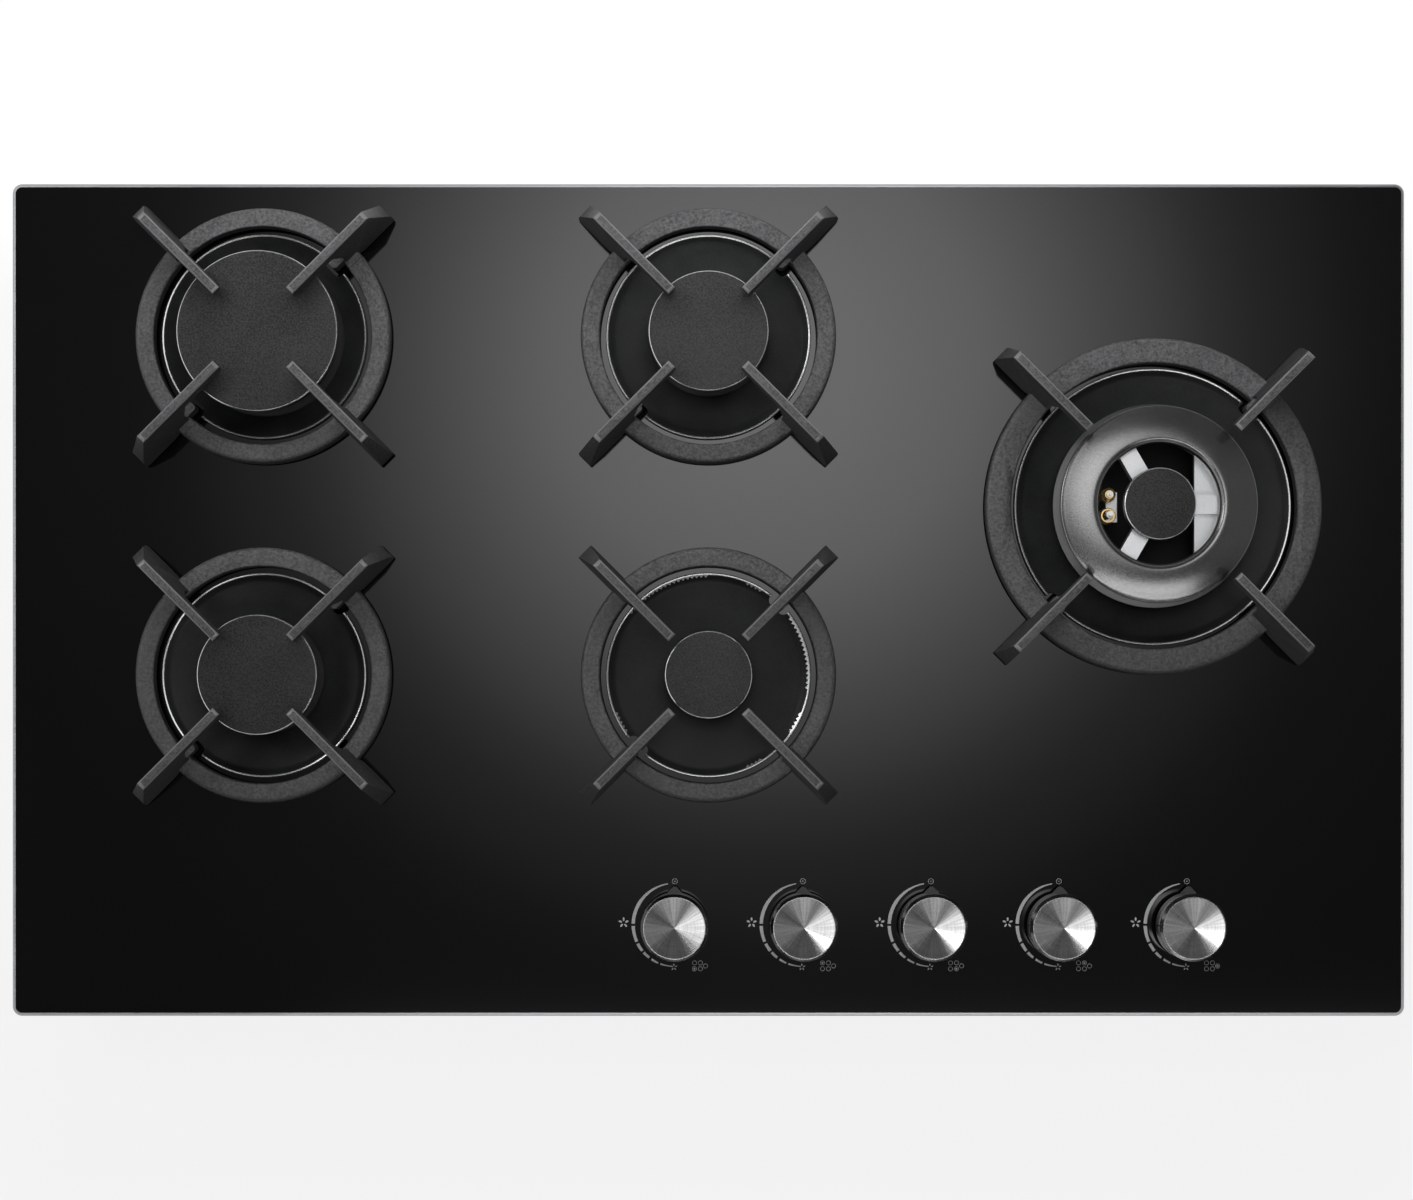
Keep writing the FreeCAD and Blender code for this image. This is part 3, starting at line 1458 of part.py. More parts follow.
os.makedirs("parts", exist_ok=True)
for part in sub_parts:
    part.Shape.exportStep("parts/%s.step" % part.Label)
    print("%-24s solids %d, volume %.1f" % (part.Label, len(part.Shape.Solids), part.Shape.Volume))
print("sub-parts:", len(sub_parts))
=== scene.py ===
import json
import math
import bpy
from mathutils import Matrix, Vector


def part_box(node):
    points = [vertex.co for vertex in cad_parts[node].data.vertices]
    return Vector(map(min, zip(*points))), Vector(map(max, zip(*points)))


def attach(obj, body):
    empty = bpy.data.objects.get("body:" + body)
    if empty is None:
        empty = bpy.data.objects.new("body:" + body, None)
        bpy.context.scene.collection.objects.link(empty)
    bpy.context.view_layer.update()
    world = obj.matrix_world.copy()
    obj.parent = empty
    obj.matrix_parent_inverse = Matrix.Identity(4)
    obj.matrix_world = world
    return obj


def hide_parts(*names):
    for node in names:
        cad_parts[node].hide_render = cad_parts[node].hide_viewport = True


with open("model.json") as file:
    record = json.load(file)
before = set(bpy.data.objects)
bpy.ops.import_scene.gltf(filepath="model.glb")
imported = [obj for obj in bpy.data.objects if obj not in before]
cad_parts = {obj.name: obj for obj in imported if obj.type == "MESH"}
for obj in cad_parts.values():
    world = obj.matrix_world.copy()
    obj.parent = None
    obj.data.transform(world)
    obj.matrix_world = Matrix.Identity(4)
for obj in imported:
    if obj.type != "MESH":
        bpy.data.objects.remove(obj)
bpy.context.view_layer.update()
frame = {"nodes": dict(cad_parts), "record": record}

mm = 0.001
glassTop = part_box("glass_top")[1].z
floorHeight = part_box("bottom_case")[0].z


def placeOf(node):
    low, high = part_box(node)
    return (low + high) / 2


burners = {
    "rear_left": placeOf("rear_left_cap"),
    "rear_middle": placeOf("rear_middle_cap"),
    "front_left": placeOf("front_left_cap"),
    "front_middle": placeOf("front_middle_cap"),
    "wok": placeOf("wok_inner_cap"),
}
knobOrder = ["front_left", "rear_left", "front_middle", "rear_middle", "wok"]
knobs = {name: placeOf(name + "_knob") for name in knobOrder}


# Small helpers for making and finishing pieces

def startFresh():
    if bpy.context.object and bpy.context.object.mode == "EDIT":
        bpy.ops.object.mode_set(mode="OBJECT")
    bpy.ops.object.select_all(action="DESELECT")


def takeUp(piece):
    startFresh()
    piece.select_set(True)
    bpy.context.view_layer.objects.active = piece


def settle(piece):
    # puts the piece's place into its mesh
    takeUp(piece)
    bpy.ops.object.transform_apply(location=True, rotation=True, scale=True)


def joinAll(pieces, name):
    startFresh()
    for piece in pieces:
        piece.select_set(True)
    bpy.context.view_layer.objects.active = pieces[0]
    if len(pieces) > 1:
        bpy.ops.object.join()
    joined = bpy.context.object
    joined.name = name
    joined.data.name = name
    return joined


def applyAll(piece):
    takeUp(piece)
    for modifier in list(piece.modifiers):
        bpy.ops.object.modifier_apply(modifier=modifier.name)


def dress(piece, material):
    piece.data.materials.clear()
    piece.data.materials.append(material)


def hand(piece, body, nodes=()):
    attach(piece, body)
    if nodes:
        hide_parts(*nodes)
    return piece


# Camera straight above, as the photograph was taken

camera = {
    "height": 1.5, "frameWidth": 0.8831, "middleX": -0.0012, "shift": 0.07, "sensor": 36.0,
    "clip": (0.05, 20),
}


def placeCamera():
    startFresh()
    back = camera["shift"] * camera["frameWidth"]
    place = (camera["middleX"], -back, glassTop + camera["height"])
    bpy.ops.object.camera_add(location=place, rotation=(0, 0, 0))
    eye = bpy.context.object
    eye.name = "photoCamera"
    eye.data.sensor_width = camera["sensor"]
    eye.data.lens = camera["sensor"] * camera["height"] / camera["frameWidth"]
    eye.data.shift_y = camera["shift"]
    eye.data.clip_start, eye.data.clip_end = camera["clip"]
    bpy.context.scene.camera = eye
    return eye


eye = placeCamera()
print("camera: lens %.1f mm" % eye.data.lens)


# Node helpers for the finishes

def nodesOf(material):
    tree = material.node_tree
    return tree, tree.nodes, tree.links


def addNode(tree, kind, **settings):
    node = tree.nodes.new(kind)
    for key, value in settings.items():
        if key in node.inputs:
            node.inputs[key].default_value = value
        else:
            setattr(node, key, value)
    return node


def mathNode(tree, operation, first, second=None):
    node = tree.nodes.new("ShaderNodeMath")
    node.operation = operation
    for socket, value in zip(node.inputs, (first, second)):
        if value is None:
            continue
        if isinstance(value, (int, float)):
            socket.default_value = value
        else:
            tree.links.new(value, socket)
    return node.outputs[0]


def mapRange(tree, value, low, high, newLow, newHigh):
    node = tree.nodes.new("ShaderNodeMapRange")
    tree.links.new(value, node.inputs["Value"])
    for key, number in (("From Min", low), ("From Max", high),
                        ("To Min", newLow), ("To Max", newHigh)):
        node.inputs[key].default_value = number
    return node.outputs["Result"]


def rampNode(tree, value, stops, blend="LINEAR"):
    node = tree.nodes.new("ShaderNodeValToRGB")
    ramp = node.color_ramp
    ramp.interpolation = blend
    while len(ramp.elements) < len(stops):
        ramp.elements.new(1.0)
    for element, (place, colour) in zip(ramp.elements, stops):
        element.position = place
        element.color = (*colour, 1) if isinstance(colour, tuple) else (colour, colour, colour, 1)
    tree.links.new(value, node.inputs["Fac"])
    return node.outputs["Color"]


# What a finish has where its look names nothing else

plainLook = {
    "metallic": 0.0, "specular": 0.5, "coat": 0.0, "coatRoughness": 0.1, "cloudScale": 40.0,
    "cloudDetail": 4.0, "grainScale": 1500.0, "grainDetail": 2.0, "grainRoughness": 0.6,
    "grainStrength": 0.6, "grainDepth": None, "cloudShare": 0.5, "spread": 0.2, "stretch": None,
    "contrast": (0.3, 0.7),
}


def makeFinish(name, look):
    # clouds of colour, fine grain, brushing, painted edge highlights, painted side shade and darker
    # low parts, each if the look asks for it
    look = {**plainLook, **look}
    material = bpy.data.materials.new(name)
    material.use_nodes = True
    tree, nodes, links = nodesOf(material)
    shader = nodes["Principled BSDF"]
    shader.inputs["Metallic"].default_value = look["metallic"]
    shader.inputs["Specular IOR Level"].default_value = look["specular"]
    shader.inputs["Coat Weight"].default_value = look["coat"]
    shader.inputs["Coat Roughness"].default_value = look["coatRoughness"]
    place = addNode(tree, "ShaderNodeTexCoord").outputs["Object"]
    if look["stretch"]:
        mapping = addNode(tree, "ShaderNodeMapping", Scale=look["stretch"])
        links.new(place, mapping.inputs["Vector"])
        brushed = mapping.outputs["Vector"]
    else:
        brushed = place
    clouds = addNode(tree, "ShaderNodeTexNoise", Scale=look["cloudScale"],
                     Detail=look["cloudDetail"], Roughness=look["grainRoughness"])
    links.new(place, clouds.inputs["Vector"])
    grain = addNode(tree, "ShaderNodeTexNoise", Scale=look["grainScale"],
                    Detail=look["grainDetail"], Roughness=look["grainRoughness"])
    links.new(brushed, grain.inputs["Vector"])
    share = look["cloudShare"]
    mixed = mathNode(tree, "ADD", mathNode(tree, "MULTIPLY", clouds.outputs["Fac"], share),
                     mathNode(tree, "MULTIPLY", grain.outputs["Fac"], 1 - share))
    spread = look["spread"]
    colour = rampNode(tree, mixed, [(0.5 - spread, look["shade"]), (0.5 + spread, look["colour"])])
    rough = mapRange(tree, mixed, *look["contrast"], *look["roughness"])
    # painted highlight on the marked rims
    if "edge" in look:
        colour, rough = paintedEdgeHighlights(tree, shader, colour, rough, look["edge"])
    # painted shade on the upright walls
    if "sides" in look:
        colour, rough = paintedSideShade(tree, colour, rough, look["sides"])
    if "soot" in look:
        colour = darkerBelow(tree, place, colour, look["soot"])
    links.new(colour, shader.inputs["Base Color"])
    links.new(rough, shader.inputs["Roughness"])
    if look["grainDepth"]:
        bump = addNode(tree, "ShaderNodeBump", Strength=look["grainStrength"],
                       Distance=look["grainDepth"])
        links.new(grain.outputs["Fac"], bump.inputs["Height"])
        links.new(bump.outputs["Normal"], shader.inputs["Normal"])
    return material


def blendColours(tree, mask, first, second):
    blend = tree.nodes.new("ShaderNodeMix")
    blend.data_type = "RGBA"
    tree.links.new(mask, blend.inputs["Factor"])
    tree.links.new(first, blend.inputs["A"])
    blend.inputs["B"].default_value = (*second, 1)
    return blend.outputs["Result"]


def paintedEdgeHighlights(tree, shader, colour, rough, edge):
    # the piece's own attribute marks the rims and ridges that get a painted highlight: a lighter,
    # more metallic, smoother finish there stands in for the shine of rounded enamel edges
    mark = addNode(tree, "ShaderNodeAttribute", attribute_name="polish").outputs["Fac"]
    base = shader.inputs["Metallic"].default_value
    more = mathNode(tree, "MULTIPLY", mark, edge["metallic"] - base)
    tree.links.new(mathNode(tree, "ADD", more, base), shader.inputs["Metallic"])
    smoother = mathNode(tree, "SUBTRACT", rough, mathNode(tree, "MULTIPLY", mark, edge["smoother"]))
    return blendColours(tree, mark, colour, edge["colour"]), smoother


sideShade = {"steep": 0.15, "level": 0.8, "dull": 0.95}


def paintedSideShade(tree, colour, rough, share):
    # painted shade: upright cast walls get a darker colour than the level faces, as if less lit,
    # and a duller finish
    facing = addNode(tree, "ShaderNodeSeparateXYZ")
    tree.links.new(tree.nodes.new("ShaderNodeNewGeometry").outputs["Normal"], facing.inputs[0])
    slopes = (sideShade["steep"], sideShade["level"])
    shadeScale = mapRange(tree, facing.outputs["Z"], *slopes, share, 1.0)
    scaled = addNode(tree, "ShaderNodeVectorMath", operation="SCALE")
    tree.links.new(colour, scaled.inputs[0])
    tree.links.new(shadeScale, scaled.inputs["Scale"])
    dull = mapRange(tree, facing.outputs["Z"], *slopes, sideShade["dull"], 0.0)
    return scaled.outputs[0], mathNode(tree, "MAXIMUM", rough, dull)


def darkerBelow(tree, place, colour, soot):
    # darker below a height, and grey beyond a radius round the wok burner's middle
    split = addNode(tree, "ShaderNodeSeparateXYZ")
    tree.links.new(place, split.inputs[0])
    middle = burners["wok"]
    aside = mathNode(tree, "POWER", mathNode(tree, "SUBTRACT", split.outputs["X"], middle.x), 2.0)
    along = mathNode(tree, "POWER", mathNode(tree, "SUBTRACT", split.outputs["Y"], middle.y), 2.0)
    away = mathNode(tree, "POWER", mathNode(tree, "ADD", aside, along), 0.5)
    skirt = mapRange(tree, away, soot["skirt"], soot["skirt"] + soot["blend"], 0.0, 1.0)
    colour = blendColours(tree, skirt, colour, soot["grey"])
    deep = mapRange(tree, split.outputs["Z"], soot["clean"], soot["burnt"], 0.0, 1.0)
    return blendColours(tree, deep, colour, soot["colour"])


# an "edge" entry lays a painted highlight, lighter and more metallic, on the rims each piece marks
looks = {
    "edgeAluminium": {
        "colour": (0.40, 0.41, 0.42), "shade": (0.32, 0.33, 0.34), "metallic": 1.0,
        "roughness": (0.28, 0.42), "grainScale": 900.0, "stretch": (0.05, 1.0, 1.0),
        "grainDepth": 0.00002, "cloudShare": 0.3,
    },
    "sealFoam": {
        "colour": (0.03, 0.03, 0.03), "shade": (0.018, 0.018, 0.018), "roughness": (0.85, 0.95),
        "grainScale": 1200.0, "grainDepth": 0.0003,
    },
    "caseSteel": {
        "colour": (0.62, 0.64, 0.66), "shade": (0.45, 0.47, 0.49), "metallic": 1.0,
        "roughness": (0.35, 0.55), "cloudScale": 60.0, "grainScale": 400.0, "cloudShare": 0.7,
    },
    "dishEnamel": {
        "colour": (0.021, 0.023, 0.022), "shade": (0.007, 0.0085, 0.0075), "roughness": (0.3, 0.36),
        "specular": 0.1, "grainScale": 1100.0, "grainDepth": 0.00008,
        "edge": {"colour": (0.42, 0.43, 0.42), "metallic": 0.8, "smoother": 0.1},
    },
    "supportIron": {
        "colour": (0.085, 0.086, 0.088), "shade": (0.018, 0.018, 0.019), "roughness": (0.44, 0.58),
        "cloudScale": 60.0, "grainScale": 650.0, "grainDepth": 0.0006, "cloudShare": 0.2,
        # "sides" sets how dark the painted shade on the upright walls goes
        "spread": 0.15, "sides": 0.25,
        "edge": {"colour": (0.17, 0.17, 0.175), "metallic": 0.5, "smoother": 0.15},
    },
    "capEnamel": {
        "colour": (0.034, 0.034, 0.035), "shade": (0.008, 0.008, 0.008), "roughness": (0.32, 0.42),
        "specular": 0.2, "cloudScale": 30.0, "grainScale": 900.0, "grainDepth": 0.00018,
        "cloudShare": 0.2, "spread": 0.15,
        "edge": {"colour": (0.55, 0.55, 0.56), "metallic": 0.9, "smoother": 0.2},
    },
    "ringEnamel": {
        "colour": (0.19, 0.19, 0.19), "shade": (0.12, 0.12, 0.12), "metallic": 0.9,
        "roughness": (0.16, 0.24), "cloudScale": 30.0, "grainScale": 1000.0, "grainDepth": 0.00004,
        "cloudShare": 0.3, "edge": {"colour": (0.6, 0.6, 0.6), "metallic": 0.95, "smoother": 0.15},
    },
    "crownBlack": {
        "colour": (0.014, 0.014, 0.014), "shade": (0.007, 0.007, 0.007), "roughness": (0.62, 0.75),
        "specular": 0.2, "grainScale": 1200.0, "grainDepth": 0.0001,
    },
    "sootedCasting": {
        "colour": (0.012, 0.012, 0.012), "shade": (0.006, 0.006, 0.006), "roughness": (0.6, 0.8),
        "grainScale": 900.0, "grainDepth": 0.0002,
    },
    "crownAluminium": {
        "colour": (0.80, 0.81, 0.82), "shade": (0.62, 0.63, 0.64), "metallic": 1.0,
        "roughness": (0.40, 0.5), "grainScale": 1400.0, "grainDepth": 0.00006,
        "soot": {
            "clean": 0.0215, "burnt": 0.0195, "colour": (0.012, 0.012, 0.012), "skirt": 0.052,
            "blend": 0.002, "grey": (0.11, 0.11, 0.11),
        },
    },
    "knobMetal": {
        "colour": (0.72, 0.72, 0.72), "shade": (0.6, 0.6, 0.6), "metallic": 1.0,
        "roughness": (0.14, 0.2), "grainScale": 2000.0, "cloudShare": 0.2,
    },
    "pointerPlastic": {
        "colour": (0.042, 0.046, 0.042), "shade": (0.03, 0.033, 0.03), "roughness": (0.5, 0.6),
        "grainScale": 2500.0, "grainDepth": 0.00004,
    },
    "stemSteel": {
        "colour": (0.6, 0.6, 0.6), "shade": (0.5, 0.5, 0.5), "metallic": 1.0,
        "roughness": (0.25, 0.35), "grainScale": 1500.0, "stretch": (1.0, 1.0, 0.05),
    },
    "brass": {
        "colour": (0.80, 0.60, 0.28), "shade": (0.58, 0.40, 0.17), "metallic": 1.0,
        "roughness": (0.22, 0.36), "grainScale": 900.0, "cloudScale": 160.0, "grainDepth": 0.00003,
    },
    "platedSteel": {
        "colour": (0.62, 0.62, 0.63), "shade": (0.5, 0.5, 0.52), "metallic": 1.0,
        "roughness": (0.3, 0.42), "grainScale": 800.0, "cloudScale": 90.0,
    },
    "pipeAluminium": {
        "colour": (0.76, 0.77, 0.78), "shade": (0.65, 0.66, 0.67), "metallic": 1.0,
        "roughness": (0.26, 0.38), "grainScale": 900.0,
    },
    "modulePlastic": {
        "colour": (0.72, 0.72, 0.70), "shade": (0.64, 0.64, 0.62), "roughness": (0.5, 0.6),
        "grainScale": 1500.0, "grainDepth": 0.00006,
    },
    "igniterCeramic": {
        "colour": (0.80, 0.79, 0.76), "shade": (0.70, 0.69, 0.66), "roughness": (0.15, 0.25),
        "grainScale": 900.0, "coat": 0.4,
    },
    "leadSilicone": {
        "colour": (0.62, 0.61, 0.58), "shade": (0.52, 0.51, 0.48), "roughness": (0.55, 0.65),
        "grainScale": 900.0, "grainDepth": 0.00003,
    },
    "printGrey": {
        "colour": (0.46, 0.48, 0.465), "shade": (0.40, 0.42, 0.405), "roughness": (0.45, 0.55),
        "grainScale": 2500.0, "cloudScale": 300.0,
    },
}
finishes = {name: makeFinish(name, look) for name, look in looks.items()}


# The glass: deep black, polished, with the faintest orange peel

glassLook = {
    "colour": (0.0014, 0.0014, 0.0016), "roughness": 0.06, "waveScale": 18.0, "waveDepth": 0.00002,
    "waveStrength": 0.1, "shade": 0.8,
}


def makeGlass():
    material = bpy.data.materials.new("blackGlass")
    material.use_nodes = True
    tree, nodes, links = nodesOf(material)
    shader = nodes["Principled BSDF"]
    shader.inputs["Roughness"].default_value = glassLook["roughness"]
    place = addNode(tree, "ShaderNodeTexCoord").outputs["Object"]
    waves = addNode(tree, "ShaderNodeTexNoise", Scale=glassLook["waveScale"], Detail=1.0)
    links.new(place, waves.inputs["Vector"])
    dark = tuple(glassLook["shade"] * value for value in glassLook["colour"])
    links.new(rampNode(tree, waves.outputs["Fac"], [(0.3, dark), (0.7, glassLook["colour"])]),
              shader.inputs["Base Color"])
    bump = addNode(tree, "ShaderNodeBump", Strength=glassLook["waveStrength"],
                   Distance=glassLook["waveDepth"])
    links.new(waves.outputs["Fac"], bump.inputs["Height"])
    links.new(bump.outputs["Normal"], shader.inputs["Normal"])
    return material


finishes["blackGlass"] = makeGlass()


# The knob's spun face: grooves run round the middle, so light spreads in rays

spunLook = {
    "colour": (0.76, 0.76, 0.76), "shade": (0.50, 0.50, 0.50), "roughness": (0.18, 0.22),
    "anisotropy": 0.92, "ringScale": 2600.0, "lean": 0.55, "rays": (40.0, 60.0), "rayShare": 0.6,
    "grooveShare": 0.4, "grooveTurns": 3.0, "contrast": (0.38, 0.62),
}


def makeSpun():
    material = bpy.data.materials.new("spunMetal")
    material.use_nodes = True
    tree, nodes, links = nodesOf(material)
    shader = nodes["Principled BSDF"]
    shader.inputs["Metallic"].default_value = 1.0
    shader.inputs["Anisotropic"].default_value = spunLook["anisotropy"]
    tangent = addNode(tree, "ShaderNodeTangent", direction_type="RADIAL", axis="Z")
    links.new(tangent.outputs["Tangent"], shader.inputs["Tangent"])
    place = addNode(tree, "ShaderNodeUVMap", uv_map="rings").outputs["UV"]
    grooves = addNode(tree, "ShaderNodeTexNoise", Scale=1.0, Detail=2.0)
    mapping = addNode(tree, "ShaderNodeMapping",
                      Scale=(spunLook["ringScale"], spunLook["grooveTurns"], 1.0))
    links.new(place, mapping.inputs["Vector"])
    links.new(mapping.outputs["Vector"], grooves.inputs["Vector"])
    rays = addNode(tree, "ShaderNodeTexNoise", Scale=1.0, Detail=2.0)
    spread = addNode(tree, "ShaderNodeMapping", Scale=(*spunLook["rays"], 1.0))
    links.new(place, spread.inputs["Vector"])
    links.new(spread.outputs["Vector"], rays.inputs["Vector"])
    both = mathNode(
        tree, "ADD", mathNode(tree, "MULTIPLY", grooves.outputs["Fac"], spunLook["grooveShare"]),
        mathNode(tree, "MULTIPLY", rays.outputs["Fac"], spunLook["rayShare"]))
    dark, pale = spunLook["contrast"]
    links.new(rampNode(tree, both, [(dark, spunLook["shade"]), (pale, spunLook["colour"])]),
              shader.inputs["Base Color"])
    rough = mapRange(tree, grooves.outputs["Fac"], *plainLook["contrast"], *spunLook["roughness"])
    links.new(rough, shader.inputs["Roughness"])
    # every groove leans towards the middle
    split = addNode(tree, "ShaderNodeSeparateXYZ")
    links.new(place, split.inputs[0])
    bump = addNode(tree, "ShaderNodeBump", Strength=1.0, Distance=1.0)
    leaning = mathNode(tree, "MULTIPLY", split.outputs["X"], spunLook["lean"])
    links.new(leaning, bump.inputs["Height"])
    links.new(bump.outputs["Normal"], shader.inputs["Normal"])
    return material


finishes["spunMetal"] = makeSpun()
print("finishes:", len(finishes))


# Finishes of the frame's own nodes

nodeFinishes = {
    "glass_top": "blackGlass", "edge_trim": "edgeAluminium", "worktop_seal": "sealFoam",
    "bottom_case": "caseSteel", "valve_bodies": "brass", "gas_manifold": "platedSteel",
    "inlet_elbow": "brass", "gas_pipes": "pipeAluminium", "burner_rails": "platedSteel",
    "screws": "platedSteel", "gas_jets": "brass", "ignition_module": "modulePlastic",
    "igniters": "igniterCeramic", "ignition_leads": "leadSilicone", "thermocouples": "stemSteel",
    "wok_crown": "crownAluminium", "wok_cup": "sootedCasting", "wok_outer_cap": "ringEnamel",
}
endings = {
    "_dish": "dishEnamel", "_support": "supportIron", "_cup": "sootedCasting",
    "_cups": "sootedCasting", "_crown": "crownBlack", "_cap": "capEnamel", "_knob": "knobMetal",
    "_pointer": "pointerPlastic", "_stem": "stemSteel", "_plug": "brass",
}


def finishOf(node):
    if node in nodeFinishes:
        return finishes[nodeFinishes[node]]
    return finishes[next(finish for ending, finish in endings.items() if node.endswith(ending))]


for node, piece in frame["nodes"].items():
    finish = finishOf(node)
    for place in piece.material_slots:
        place.material = finish
print("nodes finished:", len(frame["nodes"]))


# Cast and pressed pieces with their real soft edges, made from a merged copy of the node; their top
# rims are marked for a painted highlight

softMesh = {"merge": 0.000004, "flatness": 0.6, "segments": 2}
# deep, flat and steep pick the faces near the top that get the painted highlight
softEdges = {
    "_support": {
        "width": 0.0004, "angle": 32, "smooth": 40, "deep": 0.0016, "flat": 0.97, "steep": 0.4,
    },
    "_dish": {
        "width": 0.0002, "angle": 32, "smooth": 30, "deep": 0.0007, "flat": 1.0, "steep": 0.3,
    },
    "_cap": {
        "width": 0.0003, "angle": 40, "smooth": 40, "deep": 0.0014, "flat": 0.93, "steep": 0.25,
    },
}


def softCopy(node, soft):
    source = frame["nodes"][node]
    first, *others = node.split("_")
    name = first + "".join(word.title() for word in others)
    piece = bpy.data.objects.new(name, source.data.copy())
    bpy.context.scene.collection.objects.link(piece)
    takeUp(piece)
    bpy.ops.object.mode_set(mode="EDIT")
    bpy.ops.mesh.customdata_custom_splitnormals_clear()
    bpy.ops.mesh.select_all(action="SELECT")
    bpy.ops.mesh.remove_doubles(threshold=softMesh["merge"])
    bpy.ops.mesh.dissolve_limited(angle_limit=math.radians(softMesh["flatness"]))
    bpy.ops.object.mode_set(mode="OBJECT")
    bevel = piece.modifiers.new("softEdge", "BEVEL")
    bevel.width = soft["width"]
    bevel.segments = softMesh["segments"]
    bevel.limit_method = "ANGLE"
    bevel.angle_limit = math.radians(soft["angle"])
    bevel.use_clamp_overlap = True
    applyAll(piece)
    takeUp(piece)
    bpy.ops.object.shade_smooth_by_angle(angle=math.radians(soft["smooth"]))
    markPaintedHighlight(piece, *soft["polish"])
    return piece


def markPaintedHighlight(piece, low, high, flat, steep):
    # marks the faces between two heights whose slope lies between flat and steep; these get the
    # painted highlight
    layer = piece.data.attributes.new("polish", "FLOAT", "FACE")
    for face in piece.data.polygons:
        chosen = low <= face.center.z <= high and steep <= face.normal.z <= flat
        layer.data[face.index].value = 1.0 if chosen else 0.0


def softPlan(node):
    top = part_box(node)[1].z
    plan = next(plan for ending, plan in softEdges.items() if node.endswith(ending))
    return {**plan, "polish": (top - plan["deep"], top, plan["flat"], plan["steep"])}


record = frame["record"]
bodyOf = {node: body for body, nodes in record["behaviour"]["bodies"].items() for node in nodes}
for node in list(frame["nodes"]):
    if node.endswith(tuple(softEdges)) and node != "wok_outer_cap":
        piece = softCopy(node, softPlan(node))
        dress(piece, finishOf(node))
        hand(piece, bodyOf[node], [node])
print("soft edged copies made")


# Turned pieces: an outline of (radius, height) pairs is swept round the upright through a place

turned = {"steps": 96, "merge": 0.00001, "smooth": 35}


def spinPiece(name, outline, x, y, steps=turned["steps"]):
    startFresh()
    bpy.ops.mesh.primitive_circle_add(vertices=len(outline), radius=1, fill_type="NOTHING",
                                      location=(0, 0, 0))
    piece = bpy.context.object
    for vertex, (radius, height) in zip(piece.data.vertices, outline):
        vertex.co = (x + radius, y, height)
    bpy.ops.object.mode_set(mode="EDIT")
    bpy.ops.mesh.select_all(action="SELECT")
    bpy.ops.mesh.spin(steps=steps, angle=2 * math.pi, center=(x, y, 0), axis=(0, 0, 1))
    bpy.ops.mesh.select_all(action="SELECT")
    bpy.ops.mesh.remove_doubles(threshold=turned["merge"])
    bpy.ops.mesh.normals_make_consistent(inside=False)
    bpy.ops.object.mode_set(mode="OBJECT")
    takeUp(piece)
    bpy.ops.object.shade_smooth_by_angle(angle=math.radians(turned["smooth"]))
    piece.name = name
    piece.data.name = name
    return piece


# The wok burner's ring cap: it swells from the rim to a crest and rolls down into the hole

ringCap = {
    "rim": 61.0 * mm, "hole": 37.0 * mm, "crest": 41.0 * mm, "shoulder": 59.4 * mm,
    "thick": 5.0 * mm, "fall": 3.4 * mm, "bend": 1.5, "under": 0.4 * mm,
    "locator": (50.1 * mm, 53.1 * mm), "drop": 3.0 * mm, "steps": 10, "sides": 144, "rollSteps": 5,
    "rollStart": 10, "roll": 60, "land": 1 * mm, "polish": (0.9, 0.2),
}


def makeRingCap():
    middle = burners["wok"]
    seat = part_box("wok_outer_cap")[0].z + ringCap["drop"]
    crest, hole, rim, shoulder = (ringCap[key] for key in ("crest", "hole", "rim", "shoulder"))
    top = seat + ringCap["thick"]
    inner, outer = ringCap["locator"]
    steps = ringCap["steps"]
    land = ringCap["land"]
    outline = [(inner, seat), (inner, seat - ringCap["drop"]), (outer, seat - ringCap["drop"]),
               (outer, seat), (rim - ringCap["under"], seat), (rim, seat + ringCap["under"])]
    low = top - ringCap["fall"]
    reach = rim - shoulder
    rollSteps = ringCap["rollSteps"]
    for step in range(rollSteps):
        turn = math.radians(ringCap["rollStart"] + ringCap["roll"] * step / (rollSteps - 1))
        outline.append((shoulder + reach * math.cos(turn), low - reach + reach * math.sin(turn)))
    for step in range(steps):
        away = 1 - (step + 0.5) / steps
        height = top - ringCap["fall"] * away ** ringCap["bend"]
        outline.append((crest + (shoulder - crest) * away, height))
    for step in range(steps):
        turn = math.radians(90 * step / (steps - 1))
        height = seat + land + (top - seat - land) * math.cos(turn)
        outline.append((crest - (crest - hole) * math.sin(turn), height))
    outline.append((hole, seat))
    piece = spinPiece("wokOuterCap", outline, middle.x, middle.y, ringCap["sides"])
    # the outer rim gets the painted highlight
    markPaintedHighlight(piece, low - ringCap["fall"], low, *ringCap["polish"])
    dress(piece, finishes["ringEnamel"])
    return hand(piece, "wok_outer_cap", ["wok_outer_cap"])


makeRingCap()


# Brass sleeves and their small bracket beside the wok burner's middle

sleeves = {
    "sensor": {
        "place": (-29.6 * mm, 6.3 * mm), "bore": 1.95 * mm, "neck": 2.9 * mm, "nut": 4.3 * mm,
        "low": 4 * mm, "high": 19 * mm,
    },
    "spark": {
        "place": (-29.6 * mm, -6.3 * mm), "bore": 3.4 * mm, "neck": 4.6 * mm, "nut": 5.0 * mm,
        "low": 4 * mm, "high": 14 * mm,
    },
    "bracket": {
        "size": (7.5 * mm, 19.0 * mm), "place": (-26.2 * mm, -0.6 * mm), "low": 5.0 * mm,
        "thick": 1.2 * mm, "round": 0.4 * mm,
    },
}
sleeveShape = {
    "ridges": 4, "firstRidge": 0.45, "ridgeApart": 0.13, "groove": 0.5 * mm, "collar": 1.2 * mm,
    "edge": 0.3 * mm, "sides": 32,
}


